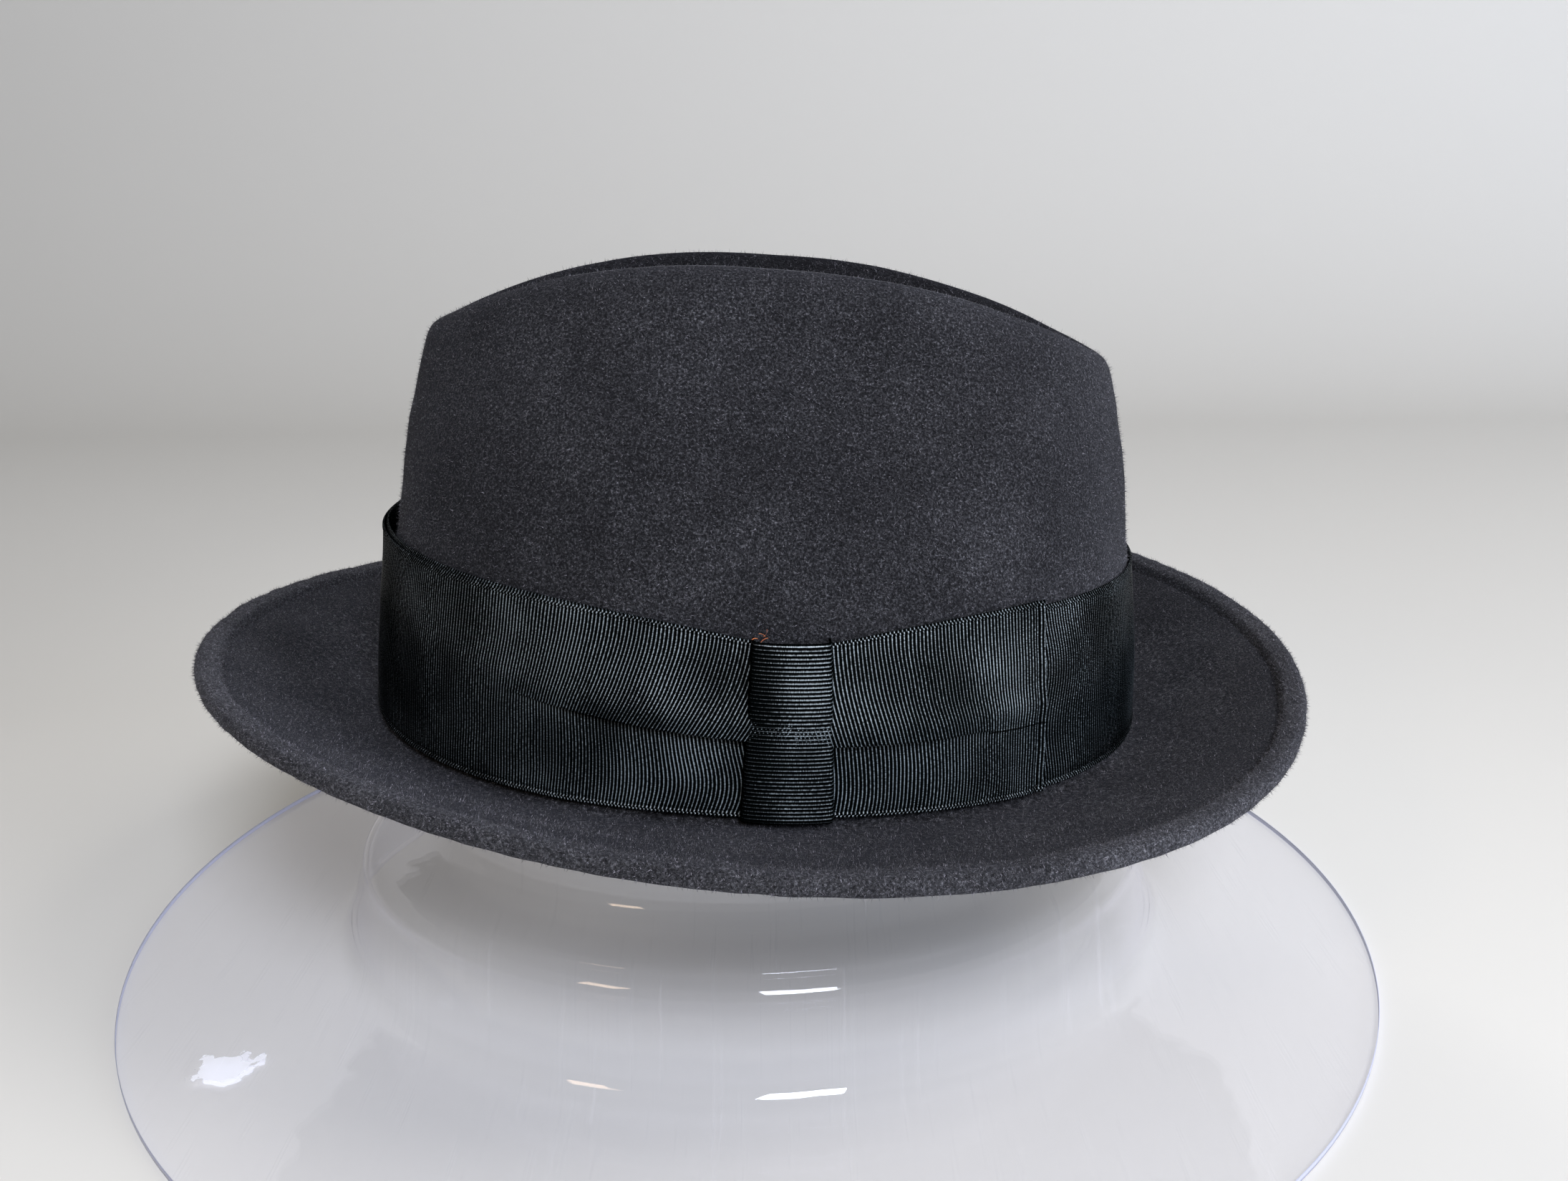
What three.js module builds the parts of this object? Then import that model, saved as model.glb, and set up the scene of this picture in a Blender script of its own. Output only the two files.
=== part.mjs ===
// A black fur felt fedora with a grosgrain band and a flat bow, on its clear formed stand.
// Millimetres, +Z up. The crown's long axis runs along X, its front end at -X, and the bow
// faces -Y. The origin is the centre of the stand's foot, on the surface that it stands on.

import * as THREE from "three";
import { mergeVertices } from "three/addons/utils/BufferGeometryUtils.js";

// Crown: the felt's outer face. The head oval is its lower edge and the ridge oval is the rim of
// the crease in its top. Heights are above the head plane, where the band's lower edge lies.
const HEAD_HALF_LENGTH = 107.2;
const HEAD_HALF_WIDTH = 85.2;
const HEAD_OVAL_POWER = 2.14;
const RIDGE_HALF_LENGTH = 89.5;
const RIDGE_HALF_WIDTH = 38.8;
const RIDGE_OVAL_POWER = 2;
const APEX_HEIGHT = 122.5;
const APEX_FROM_FRONT = 80;
const FRONT_HEIGHT = 103;
const BACK_HEIGHT = 99.5;
const ARCH_POWER = 2.3;
const FAR_RIDGE_DROP = 2.4;
const CREASE_DEPTH = 22;
const CREASE_END_DEPTH = 4;
const CREASE_LINE_HALF_LENGTH = 68;
const DENT_DEPTH = 7;
const FELT_THICKNESS = 2;

// Brim: widths from the head oval to the cut edge, and how far the edge stands above the break.
const BRIM_FRONT_WIDTH = 49.5;
const BRIM_BACK_WIDTH = 44.4;
const BRIM_SIDE_WIDTH = 53;
const BRIM_BACK_FULLNESS = 7.7;
const BREAK_DROP = 2.8;
const BRIM_RISE = 16;
const WELT_WIDTH = 6.3;
const WELT_THICKNESS = 1.9;

// Ribbon: the band goes all round, and the bow's two wings and its knot lie on it.
const BAND_FRONT_HEIGHT = 50.5;
const BAND_BACK_HEIGHT = 47;
const WING_HEIGHT = 49.5;
const RIBBON_THICKNESS = 1;
const PLEATED_HEIGHT = 43.6;
const PLEAT_REACH = 36;
const PLEAT_LAP = 1;
const LONG_WING_FOLD_HEIGHT = 20;
const SHORT_WING_FOLD_HEIGHT = 19;
const LONG_WING_LENGTH = 186;
const SHORT_WING_LENGTH = 66;
const KNOT_CENTRE = 8.5;
const KNOT_TOP_WIDTH = 18.8;
const KNOT_BOTTOM_WIDTH = 21;
const KNOT_THICKNESS = 1.4;
const KNOT_OVERHANG = 1.6;

// Stand: one formed sheet, with a round flange, an oval step, and a neck with a domed top inside
// the hat. Each half size is that of the sheet's upper face.
const FLANGE_RADIUS = 180;
const STEP_HALF_LENGTH = 120;
const STEP_HALF_WIDTH = 104;
const STEP_HEIGHT = 30;
const STEP_TAPER = 4;
const CORNER_RADIUS = 7;
const NECK_HALF_LENGTH = 90;
const NECK_HALF_WIDTH = 70;
const NECK_BEND_HEIGHT = 62;
const NECK_TAPER = 5;
const DOME_HALF_LENGTH = 58;
const DOME_HALF_WIDTH = 30;
const DOME_HEIGHT = 14;
const SHEET_THICKNESS = 1.5;

// How the hat lies on the stand, and the clearance between pieces that touch.
const HAT_X = 3.5;
const HAT_Y = -0.8;
const HEAD_PLANE_HEIGHT = 71.2;
const BACK_END_DOWN = 2.6;
const BOW_SIDE_DOWN = 2.3;
const TOUCH_GAP = 0.3;

// Steps round each piece. What lies outside has the shorter steps, so that its flats clear the
// corners of what it lies on.
const FELT_STEPS = 52;
const RIBBON_STEPS = 96;
const WING_STEP_LENGTH = 5.5;
const STAND_STEPS = 40;

// Each row is a ring of the crease, from its centre line out to the ridge: its reach as a share of
// the ridge oval, and its depth as a share of the crease's depth.
const CREASE_ROWS = [
  { reach: 0.0, sink: 1.0 },
  { reach: 0.24, sink: 0.96 },
  { reach: 0.5, sink: 0.74 },
  { reach: 0.75, sink: 0.36 },
  { reach: 0.92, sink: 0.06 },
];

// Each row is a level of the crown wall, from the ridge down to the head oval: its height as a
// share of the crown's height there, and how much of the way out from the ridge oval to the head
// oval it has come at the ends and at the sides.
const WALL_ROWS = [
  { level: 1.0, ends: 0.0, sides: 0.0 },
  { level: 0.985, ends: 0.12, sides: 0.09 },
  { level: 0.94, ends: 0.23, sides: 0.22 },
  { level: 0.86, ends: 0.34, sides: 0.4 },
  { level: 0.74, ends: 0.48, sides: 0.6 },
  { level: 0.58, ends: 0.61, sides: 0.78 },
  { level: 0.42, ends: 0.74, sides: 0.9 },
  { level: 0.2, ends: 0.91, sides: 0.975 },
  { level: 0.0, ends: 1.0, sides: 1.0 },
];

// Each row is a dent pressed into both sides of the crown: its centre and reach along the crown
// as shares of the ridge's half length, the same up the wall as shares of the crown's height, and
// its depth as a share of the named dent depth.
const DENT_ROWS = [
  { along: 0.2, reach: 0.34, level: 0.76, spread: 0.17, depth: 1.0 },
  { along: -0.3, reach: 0.45, level: 0.82, spread: 0.14, depth: 0.4 },
];

// Each row is an eighth of the way round the brim, from the back along the far side: how high its
// cut edge stands, as a share of the brim's rise.
const RISE_ROWS = [
  { place: "back", rise: 1.24 },
  { place: "far back quarter", rise: 1.29 },
  { place: "far side", rise: 0.86 },
  { place: "far front quarter", rise: 0.65 },
  { place: "front", rise: 0.99 },
  { place: "near front quarter", rise: 1.14 },
  { place: "near side", rise: 0.9 },
  { place: "near back quarter", rise: 0.88 },
];

// Each row is a ring of the break, where crown turns into brim: its place as a share of the brim's
// width, and its height above the brim as a share of the break's drop.
const BREAK_ROWS = [
  { out: 0.006, above: 0.52 },
  { out: 0.03, above: 0.16 },
  { out: 0.08, above: 0.0 },
];
const BRIM_RING_SHARES = [0.26, 0.44, 0.6, 0.75];

// Each row is a ring of the turned-over welt: its distance in from the cut edge as a share of the
// welt's width, and its lift as a share of the welt's thickness.
const WELT_ROWS = [
  { inset: 1.0, lift: 0.0 },
  { inset: 0.92, lift: 0.8 },
  { inset: 0.65, lift: 1.0 },
  { inset: 0.3, lift: 1.0 },
  { inset: 0.08, lift: 0.65 },
];

// Each row is a line along a bow wing: how far up it is below the fold and above it, as shares of
// those two heights, and how much of the pleat's lap it stands proud.
const WING_ROWS = [
  { below: 0.0, above: 0.0, lap: 0.0 },
  { below: 0.5, above: 0.0, lap: 0.0 },
  { below: 0.97, above: 0.0, lap: 0.0 },
  { below: 1.0, above: 0.03, lap: 1.0 },
  { below: 1.0, above: 0.35, lap: 0.75 },
  { below: 1.0, above: 1.0, lap: 0.0 },
];

// Joins rings of points into one skin, by quads between neighbouring rings. With wrap the last
// ring is joined to the first. Points that lie together become one.
function skin(rings, wrap) {
  const around = rings[0].length;
  const joins = wrap ? rings.length : rings.length - 1;
  const corners = [];
  for (let ring = 0; ring < joins; ring += 1) {
    const next = (ring + 1) % rings.length;
    for (let step = 0; step < around; step += 1) {
      const after = (step + 1) % around;
      const a = ring * around + step;
      const b = ring * around + after;
      const c = next * around + after;
      const d = next * around + step;
      corners.push(a, d, c, a, c, b);
    }
  }
  const loose = new THREE.BufferGeometry().setFromPoints(rings.flat());
  loose.setIndex(corners);
  const merged = mergeVertices(loose, 0.001);
  const index = merged.getIndex().array;
  const kept = [];
  for (let corner = 0; corner < index.length; corner += 3) {
    const triangle = [index[corner], index[corner + 1], index[corner + 2]];
    if (new Set(triangle).size === 3) {
      kept.push(...triangle);
    }
  }
  merged.setIndex(kept);
  merged.computeVertexNormals();
  return merged;
}

// Joins sections of a strip into one closed skin, each end closed by a fan from its middle.
function cappedSkin(sections) {
  const cap = (section) => {
    const sum = section.reduce((total, point) => total.add(point), new THREE.Vector3());
    const middle = sum.divideScalar(section.length);
    return section.map(() => middle);
  };
  return skin([cap(sections[0]), ...sections, cap(sections[sections.length - 1])], false);
}

// The same rings, moved through a sheet of material to its other face. The first ring lies level
// at the middle of the top, so it moves straight down.
function otherFace(rings, thickness) {
  return rings.map((ring, row) =>
    ring.map((point, step) => {
      if (row === 0) {
        return new THREE.Vector3(point.x, point.y, point.z - thickness);
      }
      const before = ring[(step + ring.length - 1) % ring.length];
      const after = ring[(step + 1) % ring.length];
      const inner = rings[row - 1][step];
      const outer = rings[Math.min(row + 1, rings.length - 1)][step];
      const round = after.clone().sub(before);
      const across = outer.clone().sub(inner);
      return point.clone().addScaledVector(round.cross(across).normalize(), thickness);
    }),
  );
}

function anglesAround(steps) {
  return Array.from({ length: steps }, (_, step) => (step / steps) * 2 * Math.PI);
}

// A point of an oval with the given half sizes. A power of 2 is an ellipse.
function oval(angle, halfLength, halfWidth, power) {
  const cos = Math.cos(angle);
  const sin = Math.sin(angle);
  const x = halfLength * Math.sign(cos) * Math.abs(cos) ** (2 / power);
  const y = halfWidth * Math.sign(sin) * Math.abs(sin) ** (2 / power);
  return new THREE.Vector2(x, y);
}

// The value in one column of the wall's table at any level between its rows.
function wallShare(level, column) {
  const below = WALL_ROWS.findIndex((row) => row.level <= level);
  if (below === 0) {
    return WALL_ROWS[0][column];
  }
  const lower = below < 0 ? WALL_ROWS[WALL_ROWS.length - 1] : WALL_ROWS[below];
  const upper = below < 0 ? WALL_ROWS[WALL_ROWS.length - 2] : WALL_ROWS[below - 1];
  return THREE.MathUtils.mapLinear(level, lower.level, upper.level, lower[column], upper[column]);
}

// How far the ridge away from the bow lies below the one above the bow.
function farDrop(angle) {
  return FAR_RIDGE_DROP * Math.max(0, Math.sin(angle)) ** 2;
}

// The height of the crown's ridge, which arches from the front over the apex to the back.
function ridgeHeight(angle) {
  const apex = APEX_FROM_FRONT - RIDGE_HALF_LENGTH;
  const along = RIDGE_HALF_LENGTH * Math.cos(angle);
  const endHeight = along < apex ? FRONT_HEIGHT : BACK_HEIGHT;
  const run = along < apex ? APEX_FROM_FRONT : 2 * RIDGE_HALF_LENGTH - APEX_FROM_FRONT;
  const share = Math.abs(along - apex) / run;
  return APEX_HEIGHT - (APEX_HEIGHT - endHeight) * share ** ARCH_POWER - farDrop(angle);
}

// How far the sides are pressed in at a level of the crown wall.
function dentAt(angle, level) {
  const bell = (offset, reach) => Math.exp(-((offset / reach) ** 2));
  const shares = DENT_ROWS.map(
    (row) =>
      row.depth * bell(Math.cos(angle) - row.along, row.reach) * bell(level - row.level, row.spread),
  );
  return DENT_DEPTH * Math.abs(Math.sin(angle)) * shares.reduce((sum, share) => sum + share, 0);
}

// A point of the crown's outer face at a level of the wall, 1 at the ridge and 0 at the head plane.
function wallPoint(angle, level) {
  const ends = wallShare(level, "ends");
  const sides = wallShare(level, "sides");
  const halfLength = THREE.MathUtils.lerp(RIDGE_HALF_LENGTH, HEAD_HALF_LENGTH, ends);
  const halfWidth = THREE.MathUtils.lerp(RIDGE_HALF_WIDTH, HEAD_HALF_WIDTH, sides);
  const power = THREE.MathUtils.lerp(RIDGE_OVAL_POWER, HEAD_OVAL_POWER, sides);
  const plan = oval(angle, halfLength, halfWidth, power);
  const pressed = plan.y - Math.sign(plan.y) * dentAt(angle, level);
  return new THREE.Vector3(plan.x, pressed, level * ridgeHeight(angle));
}

// A point beside the crown's outer face at a height above the head plane, moved straight out.
function besideWall(angle, height, out) {
  const level = height / ridgeHeight(angle);
  const point = wallPoint(angle, level);
  const nudge = 0.01;
  const ahead = wallPoint(angle + nudge, level);
  const behind = wallPoint(angle - nudge, level);
  const normal = new THREE.Vector2(ahead.y - behind.y, behind.x - ahead.x).setLength(out);
  return new THREE.Vector3(point.x + normal.x, point.y + normal.y, height);
}

// A point of the crease between the ridges.
function creasePoint(angle, row) {
  const halfLength = THREE.MathUtils.lerp(CREASE_LINE_HALF_LENGTH, RIDGE_HALF_LENGTH, row.reach);
  const plan = oval(angle, halfLength, RIDGE_HALF_WIDTH * row.reach, RIDGE_OVAL_POWER);
  const depth = THREE.MathUtils.lerp(CREASE_DEPTH, CREASE_END_DEPTH, Math.cos(angle) ** 2);
  const evened = farDrop(angle) * (1 - row.reach);
  return new THREE.Vector3(plan.x, plan.y, ridgeHeight(angle) + evened - depth * row.sink);
}

// The cut edge of the brim in plan. Its back half is a little fuller than its front half.
function brimEdge(angle) {
  const cos = Math.cos(angle);
  const endWidth = cos < 0 ? BRIM_FRONT_WIDTH : BRIM_BACK_WIDTH;
  const halfWidth = HEAD_HALF_WIDTH + BRIM_SIDE_WIDTH + BRIM_BACK_FULLNESS * cos;
  return oval(angle, HEAD_HALF_LENGTH + endWidth, halfWidth, 2);
}

// How high the brim's cut edge stands, from the smooth closed curve through the table's rows.
const riseCurve = new THREE.CatmullRomCurve3(
  RISE_ROWS.map((row) => new THREE.Vector3(0, 0, row.rise * BRIM_RISE)),
  true,
  "catmullrom",
);

// A point of the brim's upper face, a share of the way out from the break to the cut edge. The
// brim leaves the break level, rises, and levels out again at the welt.
function brimPoint(angle, out) {
  const inner = wallPoint(angle, 0);
  const edge = brimEdge(angle);
  const rise = riseCurve.getPoint(angle / (2 * Math.PI)).z;
  const climb = THREE.MathUtils.lerp(out, THREE.MathUtils.smoothstep(out, 0, 1), 0.8);
  const x = THREE.MathUtils.lerp(inner.x, edge.x, out);
  const y = THREE.MathUtils.lerp(inner.y, edge.y, out);
  return new THREE.Vector3(x, y, rise * climb - BREAK_DROP);
}

// A point of the brim a share of the welt's width in from the cut edge.
function weltPoint(angle, inset) {
  const inner = wallPoint(angle, 0);
  const edge = brimEdge(angle);
  const brimWidth = Math.hypot(edge.x - inner.x, edge.y - inner.y);
  return brimPoint(angle, 1 - (inset * WELT_WIDTH) / brimWidth);
}

function raised(point, height) {
  return new THREE.Vector3(point.x, point.y, point.z + height);
}

// The felt body: one blocked cone of fur felt, creased on top and dented at both sides, with the
// edge of its brim turned over on top and sewn down as a welt.
function feltBody() {
  const angles = anglesAround(FELT_STEPS);
  const ringOf = (rows, place) => rows.map((row) => angles.map((angle) => place(angle, row)));
  const flatRings = [
    ...ringOf(CREASE_ROWS, creasePoint),
    ...ringOf(WALL_ROWS, (angle, row) => wallPoint(angle, row.level)),
    ...ringOf(BREAK_ROWS, (angle, row) => raised(brimPoint(angle, row.out), BREAK_DROP * row.above)),
    ...ringOf(BRIM_RING_SHARES, brimPoint),
  ];
  const turnRings = ringOf(WELT_ROWS, (angle, row) => weltPoint(angle, row.inset));
  const weltRings = ringOf(WELT_ROWS, (angle, row) =>
    raised(weltPoint(angle, row.inset), WELT_THICKNESS * row.lift),
  );
  const middleOfEdge = (WELT_THICKNESS - FELT_THICKNESS) / 2;
  const edgeRing = angles.map((angle) => raised(weltPoint(angle, 0), middleOfEdge));
  const underside = otherFace([...flatRings, ...turnRings], FELT_THICKNESS).reverse();
  return skin([...flatRings, ...weltRings, edgeRing, ...underside], false);
}

const KNOT_ANGLE = 2 * Math.PI - Math.acos((KNOT_CENTRE / HEAD_HALF_LENGTH) ** (HEAD_OVAL_POWER / 2));

// The angle at a distance round the head oval from the knot, towards the back where positive.
function angleAtDistance(distance) {
  const stride = 0.001 * Math.sign(distance);
  let angle = KNOT_ANGLE;
  let here = wallPoint(angle, 0);
  let remaining = Math.abs(distance);
  while (remaining > 0) {
    angle += stride;
    const next = wallPoint(angle, 0);
    remaining -= next.distanceTo(here);
    here = next;
  }
  return angle;
}

// How tightly the ribbon is pleated at a distance from the knot, from 1 there down to 0.
function pleating(distance) {
  return Math.exp(-((distance / PLEAT_REACH) ** 2));
}

// The height of the band's upper edge. It dips under the bow, where the pleats narrow the ribbon.
function bandHeight(angle) {
  const full = THREE.MathUtils.mapLinear(Math.cos(angle), -1, 1, BAND_FRONT_HEIGHT, BAND_BACK_HEIGHT);
  const plan = wallPoint(angle, 0);
  const dip = plan.y < 0 ? pleating(plan.x - KNOT_CENTRE) : 0;
  return THREE.MathUtils.lerp(full, PLEATED_HEIGHT - TOUCH_GAP, dip);
}

// The hat band: one ribbon round the whole crown, lying on the felt.
function hatBand() {
  const shares = [0, 0.24, 0.47, 0.67, 0.86, 1];
  const outer = shares.map((share) => ({ share, out: TOUCH_GAP + RIBBON_THICKNESS }));
  const inner = shares.map((share) => ({ share, out: TOUCH_GAP })).reverse();
  const rings = [...inner, ...outer].map(({ share, out }) =>
    anglesAround(RIBBON_STEPS).map((angle) => besideWall(angle, share * bandHeight(angle), out)),
  );
  return skin(rings.reverse(), true);
}

// One wing of the bow: a strip of ribbon on the band, from under the knot outwards, with a pleat
// that laps its upper part over its lower part and dies out away from the knot. Its heading is 1
// towards the back and -1 towards the front.
function bowWing(heading, length, foldHeight) {
  const start = KNOT_TOP_WIDTH / 6;
  const columns = Math.ceil(length / WING_STEP_LENGTH);
  const base = 2 * TOUCH_GAP + RIBBON_THICKNESS;
  const sections = [];
  for (let column = 0; column <= columns; column += 1) {
    const distance = THREE.MathUtils.lerp(start, length, column / columns);
    const angle = angleAtDistance(heading * distance);
    const upperEdge = THREE.MathUtils.lerp(WING_HEIGHT, PLEATED_HEIGHT, pleating(distance));
    const lap = PLEAT_LAP * pleating(distance);
    const heightOf = (row) => row.below * foldHeight + row.above * (upperEdge - foldHeight);
    const front = WING_ROWS.map((row) =>
      besideWall(angle, heightOf(row), base + RIBBON_THICKNESS + lap * row.lap),
    );
    const back = WING_ROWS.map((row) => besideWall(angle, heightOf(row), base)).reverse();
    sections.push([...front, ...back]);
  }
  return cappedSkin(heading > 0 ? sections : sections.reverse());
}

// The knot: a short piece of ribbon round the middle of the bow, a little wider at its lower end,
// which hangs just below the band.
function bowKnot() {
  const base = 3 * TOUCH_GAP + 2 * RIBBON_THICKNESS + PLEAT_LAP;
  const heights = [-KNOT_OVERHANG, 0, PLEATED_HEIGHT / 2, PLEATED_HEIGHT];
  const sections = [-0.5, -0.25, 0, 0.25, 0.5].map((share) => {
    const place = (height, out) => {
      const rise = height / PLEATED_HEIGHT;
      const width = THREE.MathUtils.lerp(KNOT_BOTTOM_WIDTH, KNOT_TOP_WIDTH, rise);
      return besideWall(angleAtDistance(share * width), height, out);
    };
    const front = heights.map((height) => place(height, base + KNOT_THICKNESS));
    const back = heights.map((height) => place(height, base)).reverse();
    return [...front, ...back];
  });
  return cappedSkin(sections);
}

// The top of the stand's dome: as high as the crease's underside above it lets it be.
function domeTop(hat) {
  hat.updateMatrix();
  const creaseLine = anglesAround(STAND_STEPS).map((angle) =>
    raised(creasePoint(angle, CREASE_ROWS[0]), -FELT_THICKNESS).applyMatrix4(hat.matrix),
  );
  const overDome = creaseLine.filter((point) => Math.abs(point.x) < DOME_HALF_LENGTH);
  const tops = overDome.map((point) => {
    const share = point.x / DOME_HALF_LENGTH;
    return point.z + DOME_HEIGHT * (1 - Math.sqrt(1 - share ** 2));
  });
  return Math.min(...tops) - TOUCH_GAP;
}

// The rings of the stand's upper face, from the top of its dome out to the edge of its flange.
// Each gives how far the ring lies outside its own half sizes.
function standRows(top) {
  const domeRow = (share) => ({
    halfLength: DOME_HALF_LENGTH * share,
    halfWidth: DOME_HALF_WIDTH * share,
    height: top - DOME_HEIGHT * (1 - Math.sqrt(1 - share ** 2)),
  });
  const neckRow = (out, height) => ({
    halfLength: NECK_HALF_LENGTH + out,
    halfWidth: NECK_HALF_WIDTH + out,
    height,
  });
  const stepRow = (out, height) => ({
    halfLength: STEP_HALF_LENGTH + out,
    halfWidth: STEP_HALF_WIDTH + out,
    height,
  });
  const soft = CORNER_RADIUS * 0.3;
  return [
    ...[0, 0.4, 0.72, 0.93, 1].map(domeRow),
    neckRow(-NECK_TAPER, NECK_BEND_HEIGHT),
    neckRow(0, STEP_HEIGHT + CORNER_RADIUS),
    neckRow(soft, STEP_HEIGHT + soft),
    neckRow(CORNER_RADIUS, STEP_HEIGHT),
    stepRow(-STEP_TAPER - CORNER_RADIUS, STEP_HEIGHT),
    stepRow(-STEP_TAPER - soft, STEP_HEIGHT - soft),
    stepRow(-STEP_TAPER, STEP_HEIGHT - CORNER_RADIUS),
    stepRow(0, SHEET_THICKNESS + CORNER_RADIUS),
    stepRow(soft, SHEET_THICKNESS + soft),
    stepRow(CORNER_RADIUS, SHEET_THICKNESS),
    stepRow(CORNER_RADIUS * 2, SHEET_THICKNESS),
    { halfLength: FLANGE_RADIUS, halfWidth: FLANGE_RADIUS, height: SHEET_THICKNESS },
  ];
}

// The display stand: a clear sheet formed over a mould, open underneath.
function displayStand(hat) {
  const angles = anglesAround(STAND_STEPS);
  const upper = standRows(domeTop(hat)).map((row) =>
    angles.map((angle) => {
      const plan = oval(angle, row.halfLength, row.halfWidth, 2);
      return new THREE.Vector3(plan.x, plan.y, row.height);
    }),
  );
  return skin([...upper, ...otherFace(upper, SHEET_THICKNESS).reverse()], false);
}

function named(name, geometry, finish) {
  const mesh = new THREE.Mesh(geometry, finish);
  mesh.name = name;
  return mesh;
}

const felt = new THREE.MeshStandardMaterial({ color: 0x26252b, roughness: 0.95, metalness: 0 });
const grosgrain = new THREE.MeshStandardMaterial({ color: 0x15181a, roughness: 0.7, metalness: 0 });
const clearSheet = new THREE.MeshStandardMaterial({ color: 0xd9d6de, roughness: 0.12, metalness: 0 });

const hat = new THREE.Group();
hat.position.set(HAT_X, HAT_Y, HEAD_PLANE_HEIGHT);
hat.rotation.set(
  THREE.MathUtils.degToRad(BOW_SIDE_DOWN),
  THREE.MathUtils.degToRad(BACK_END_DOWN),
  0,
  "YXZ",
);
hat.add(named("felt_body", feltBody(), felt));
hat.add(named("hat_band", hatBand(), grosgrain));
hat.add(named("bow_long_wing", bowWing(-1, LONG_WING_LENGTH, LONG_WING_FOLD_HEIGHT), grosgrain));
hat.add(named("bow_short_wing", bowWing(1, SHORT_WING_LENGTH, SHORT_WING_FOLD_HEIGHT), grosgrain));
hat.add(named("bow_knot", bowKnot(), grosgrain));

const group = new THREE.Group();
group.add(hat);
group.add(named("display_stand", displayStand(hat), clearSheet));

export default group;
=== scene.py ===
"""A black fur felt fedora with a grosgrain band and a flat bow, on its clear formed stand.

The hat is worked out in its own millimetres, where height 0 is the lower edge of the band, and is
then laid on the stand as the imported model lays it. The crown's front is at -X, the bow faces -Y.
"""

import math

import bmesh
import bpy
import numpy as np
from mathutils import Matrix, Vector


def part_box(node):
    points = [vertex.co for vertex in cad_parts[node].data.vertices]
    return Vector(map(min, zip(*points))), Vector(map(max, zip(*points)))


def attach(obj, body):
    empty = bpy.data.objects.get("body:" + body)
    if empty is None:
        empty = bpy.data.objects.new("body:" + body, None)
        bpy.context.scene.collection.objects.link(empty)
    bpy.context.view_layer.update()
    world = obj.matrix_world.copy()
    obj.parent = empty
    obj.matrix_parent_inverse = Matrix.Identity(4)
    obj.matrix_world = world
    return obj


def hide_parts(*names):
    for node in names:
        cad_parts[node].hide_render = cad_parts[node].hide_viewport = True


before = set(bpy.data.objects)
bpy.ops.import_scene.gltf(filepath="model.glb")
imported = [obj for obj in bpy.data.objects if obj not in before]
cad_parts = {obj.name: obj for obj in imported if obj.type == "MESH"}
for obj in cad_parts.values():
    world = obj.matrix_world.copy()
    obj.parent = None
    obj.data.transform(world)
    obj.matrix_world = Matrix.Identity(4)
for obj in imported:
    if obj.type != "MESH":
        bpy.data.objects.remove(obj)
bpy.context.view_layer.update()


# The felt body. One cone of rabbit fur felt, blocked, creased down the middle of its top and
# pinched at both sides. The edge of the brim is turned over on top and felled down as a welt.

MM = 0.001
HEAD_HALF_LENGTH = 107.2
HEAD_HALF_WIDTH = 85.2
HEAD_OVAL_POWER = 2.14
RIDGE_HALF_LENGTH = 89.5
RIDGE_HALF_WIDTH = 38.8
APEX_HEIGHT = 122.5
APEX_FROM_FRONT = 80
FRONT_HEIGHT = 103
BACK_HEIGHT = 99.5
ARCH_POWER = 2.3
FAR_RIDGE_DROP = 2.4
CREASE_DEPTH = 22
CREASE_END_DEPTH = 4
CREASE_LINE_HALF_LENGTH = 68
DENT_DEPTH = 8.2
FELT_THICKNESS = 2
BRIM_FRONT_WIDTH = 49.5
BRIM_BACK_WIDTH = 44.4
BRIM_SIDE_WIDTH = 53
BRIM_BACK_FULLNESS = 7.7
BREAK_DROP = 2.8
BRIM_RISE = 16
WELT_WIDTH = 6.3
WELT_THICKNESS = 2.3
FELT_COLUMNS = 336
FELT_ROW_SPACING = 1.5
BRIM_BELOW = 8
# How dark the felt is painted in the crease and on the far ridge, a painted shade, and how light along the
# ridge over the bow, a painted highlight.
CREASE_PAINTED_SHADE = -1.5
RIDGE_PAINTED_HIGHLIGHT = 2.2

# How the hat lies on the stand: tipped a little to the back and to the bow's side.
hat_on_stand = (
    Matrix.Translation((3.5, -0.8, 71.2))
    @ Matrix.Rotation(math.radians(2.6), 4, "Y")
    @ Matrix.Rotation(math.radians(2.3), 4, "X")
)

# Shares of the way out from the ridge oval to the head oval, down the wall of the crown.
WALL_LEVELS = [0.0, 0.2, 0.42, 0.58, 0.74, 0.86, 0.94, 0.985, 1.0]
WALL_ENDS = [1.0, 0.91, 0.74, 0.61, 0.48, 0.34, 0.23, 0.12, 0.0]
WALL_SIDES = [1.0, 0.975, 0.9, 0.78, 0.6, 0.4, 0.22, 0.09, 0.0]

# Shares of the reach and of the depth of the crease, from its centre line out to the ridge.
CREASE_REACHES = [0.0, 0.12, 0.24, 0.37, 0.5, 0.63, 0.75, 0.85, 0.93]
CREASE_SINKS = [1.0, 0.99, 0.96, 0.87, 0.74, 0.56, 0.36, 0.17, 0.045]

# The pinches in both sides: place and reach along the crown and up its wall, and depth.
PINCHES = [
    {"along": 0.2, "reach": 0.34, "level": 0.76, "spread": 0.17, "depth": 1.0},
    {"along": -0.3, "reach": 0.45, "level": 0.82, "spread": 0.14, "depth": 0.4},
]

# How high the cut edge stands at each eighth of the brim, from the back along the far side.
BRIM_RISES = [1.24, 1.29, 0.86, 0.65, 0.99, 1.14, 0.9, 0.88]


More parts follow.
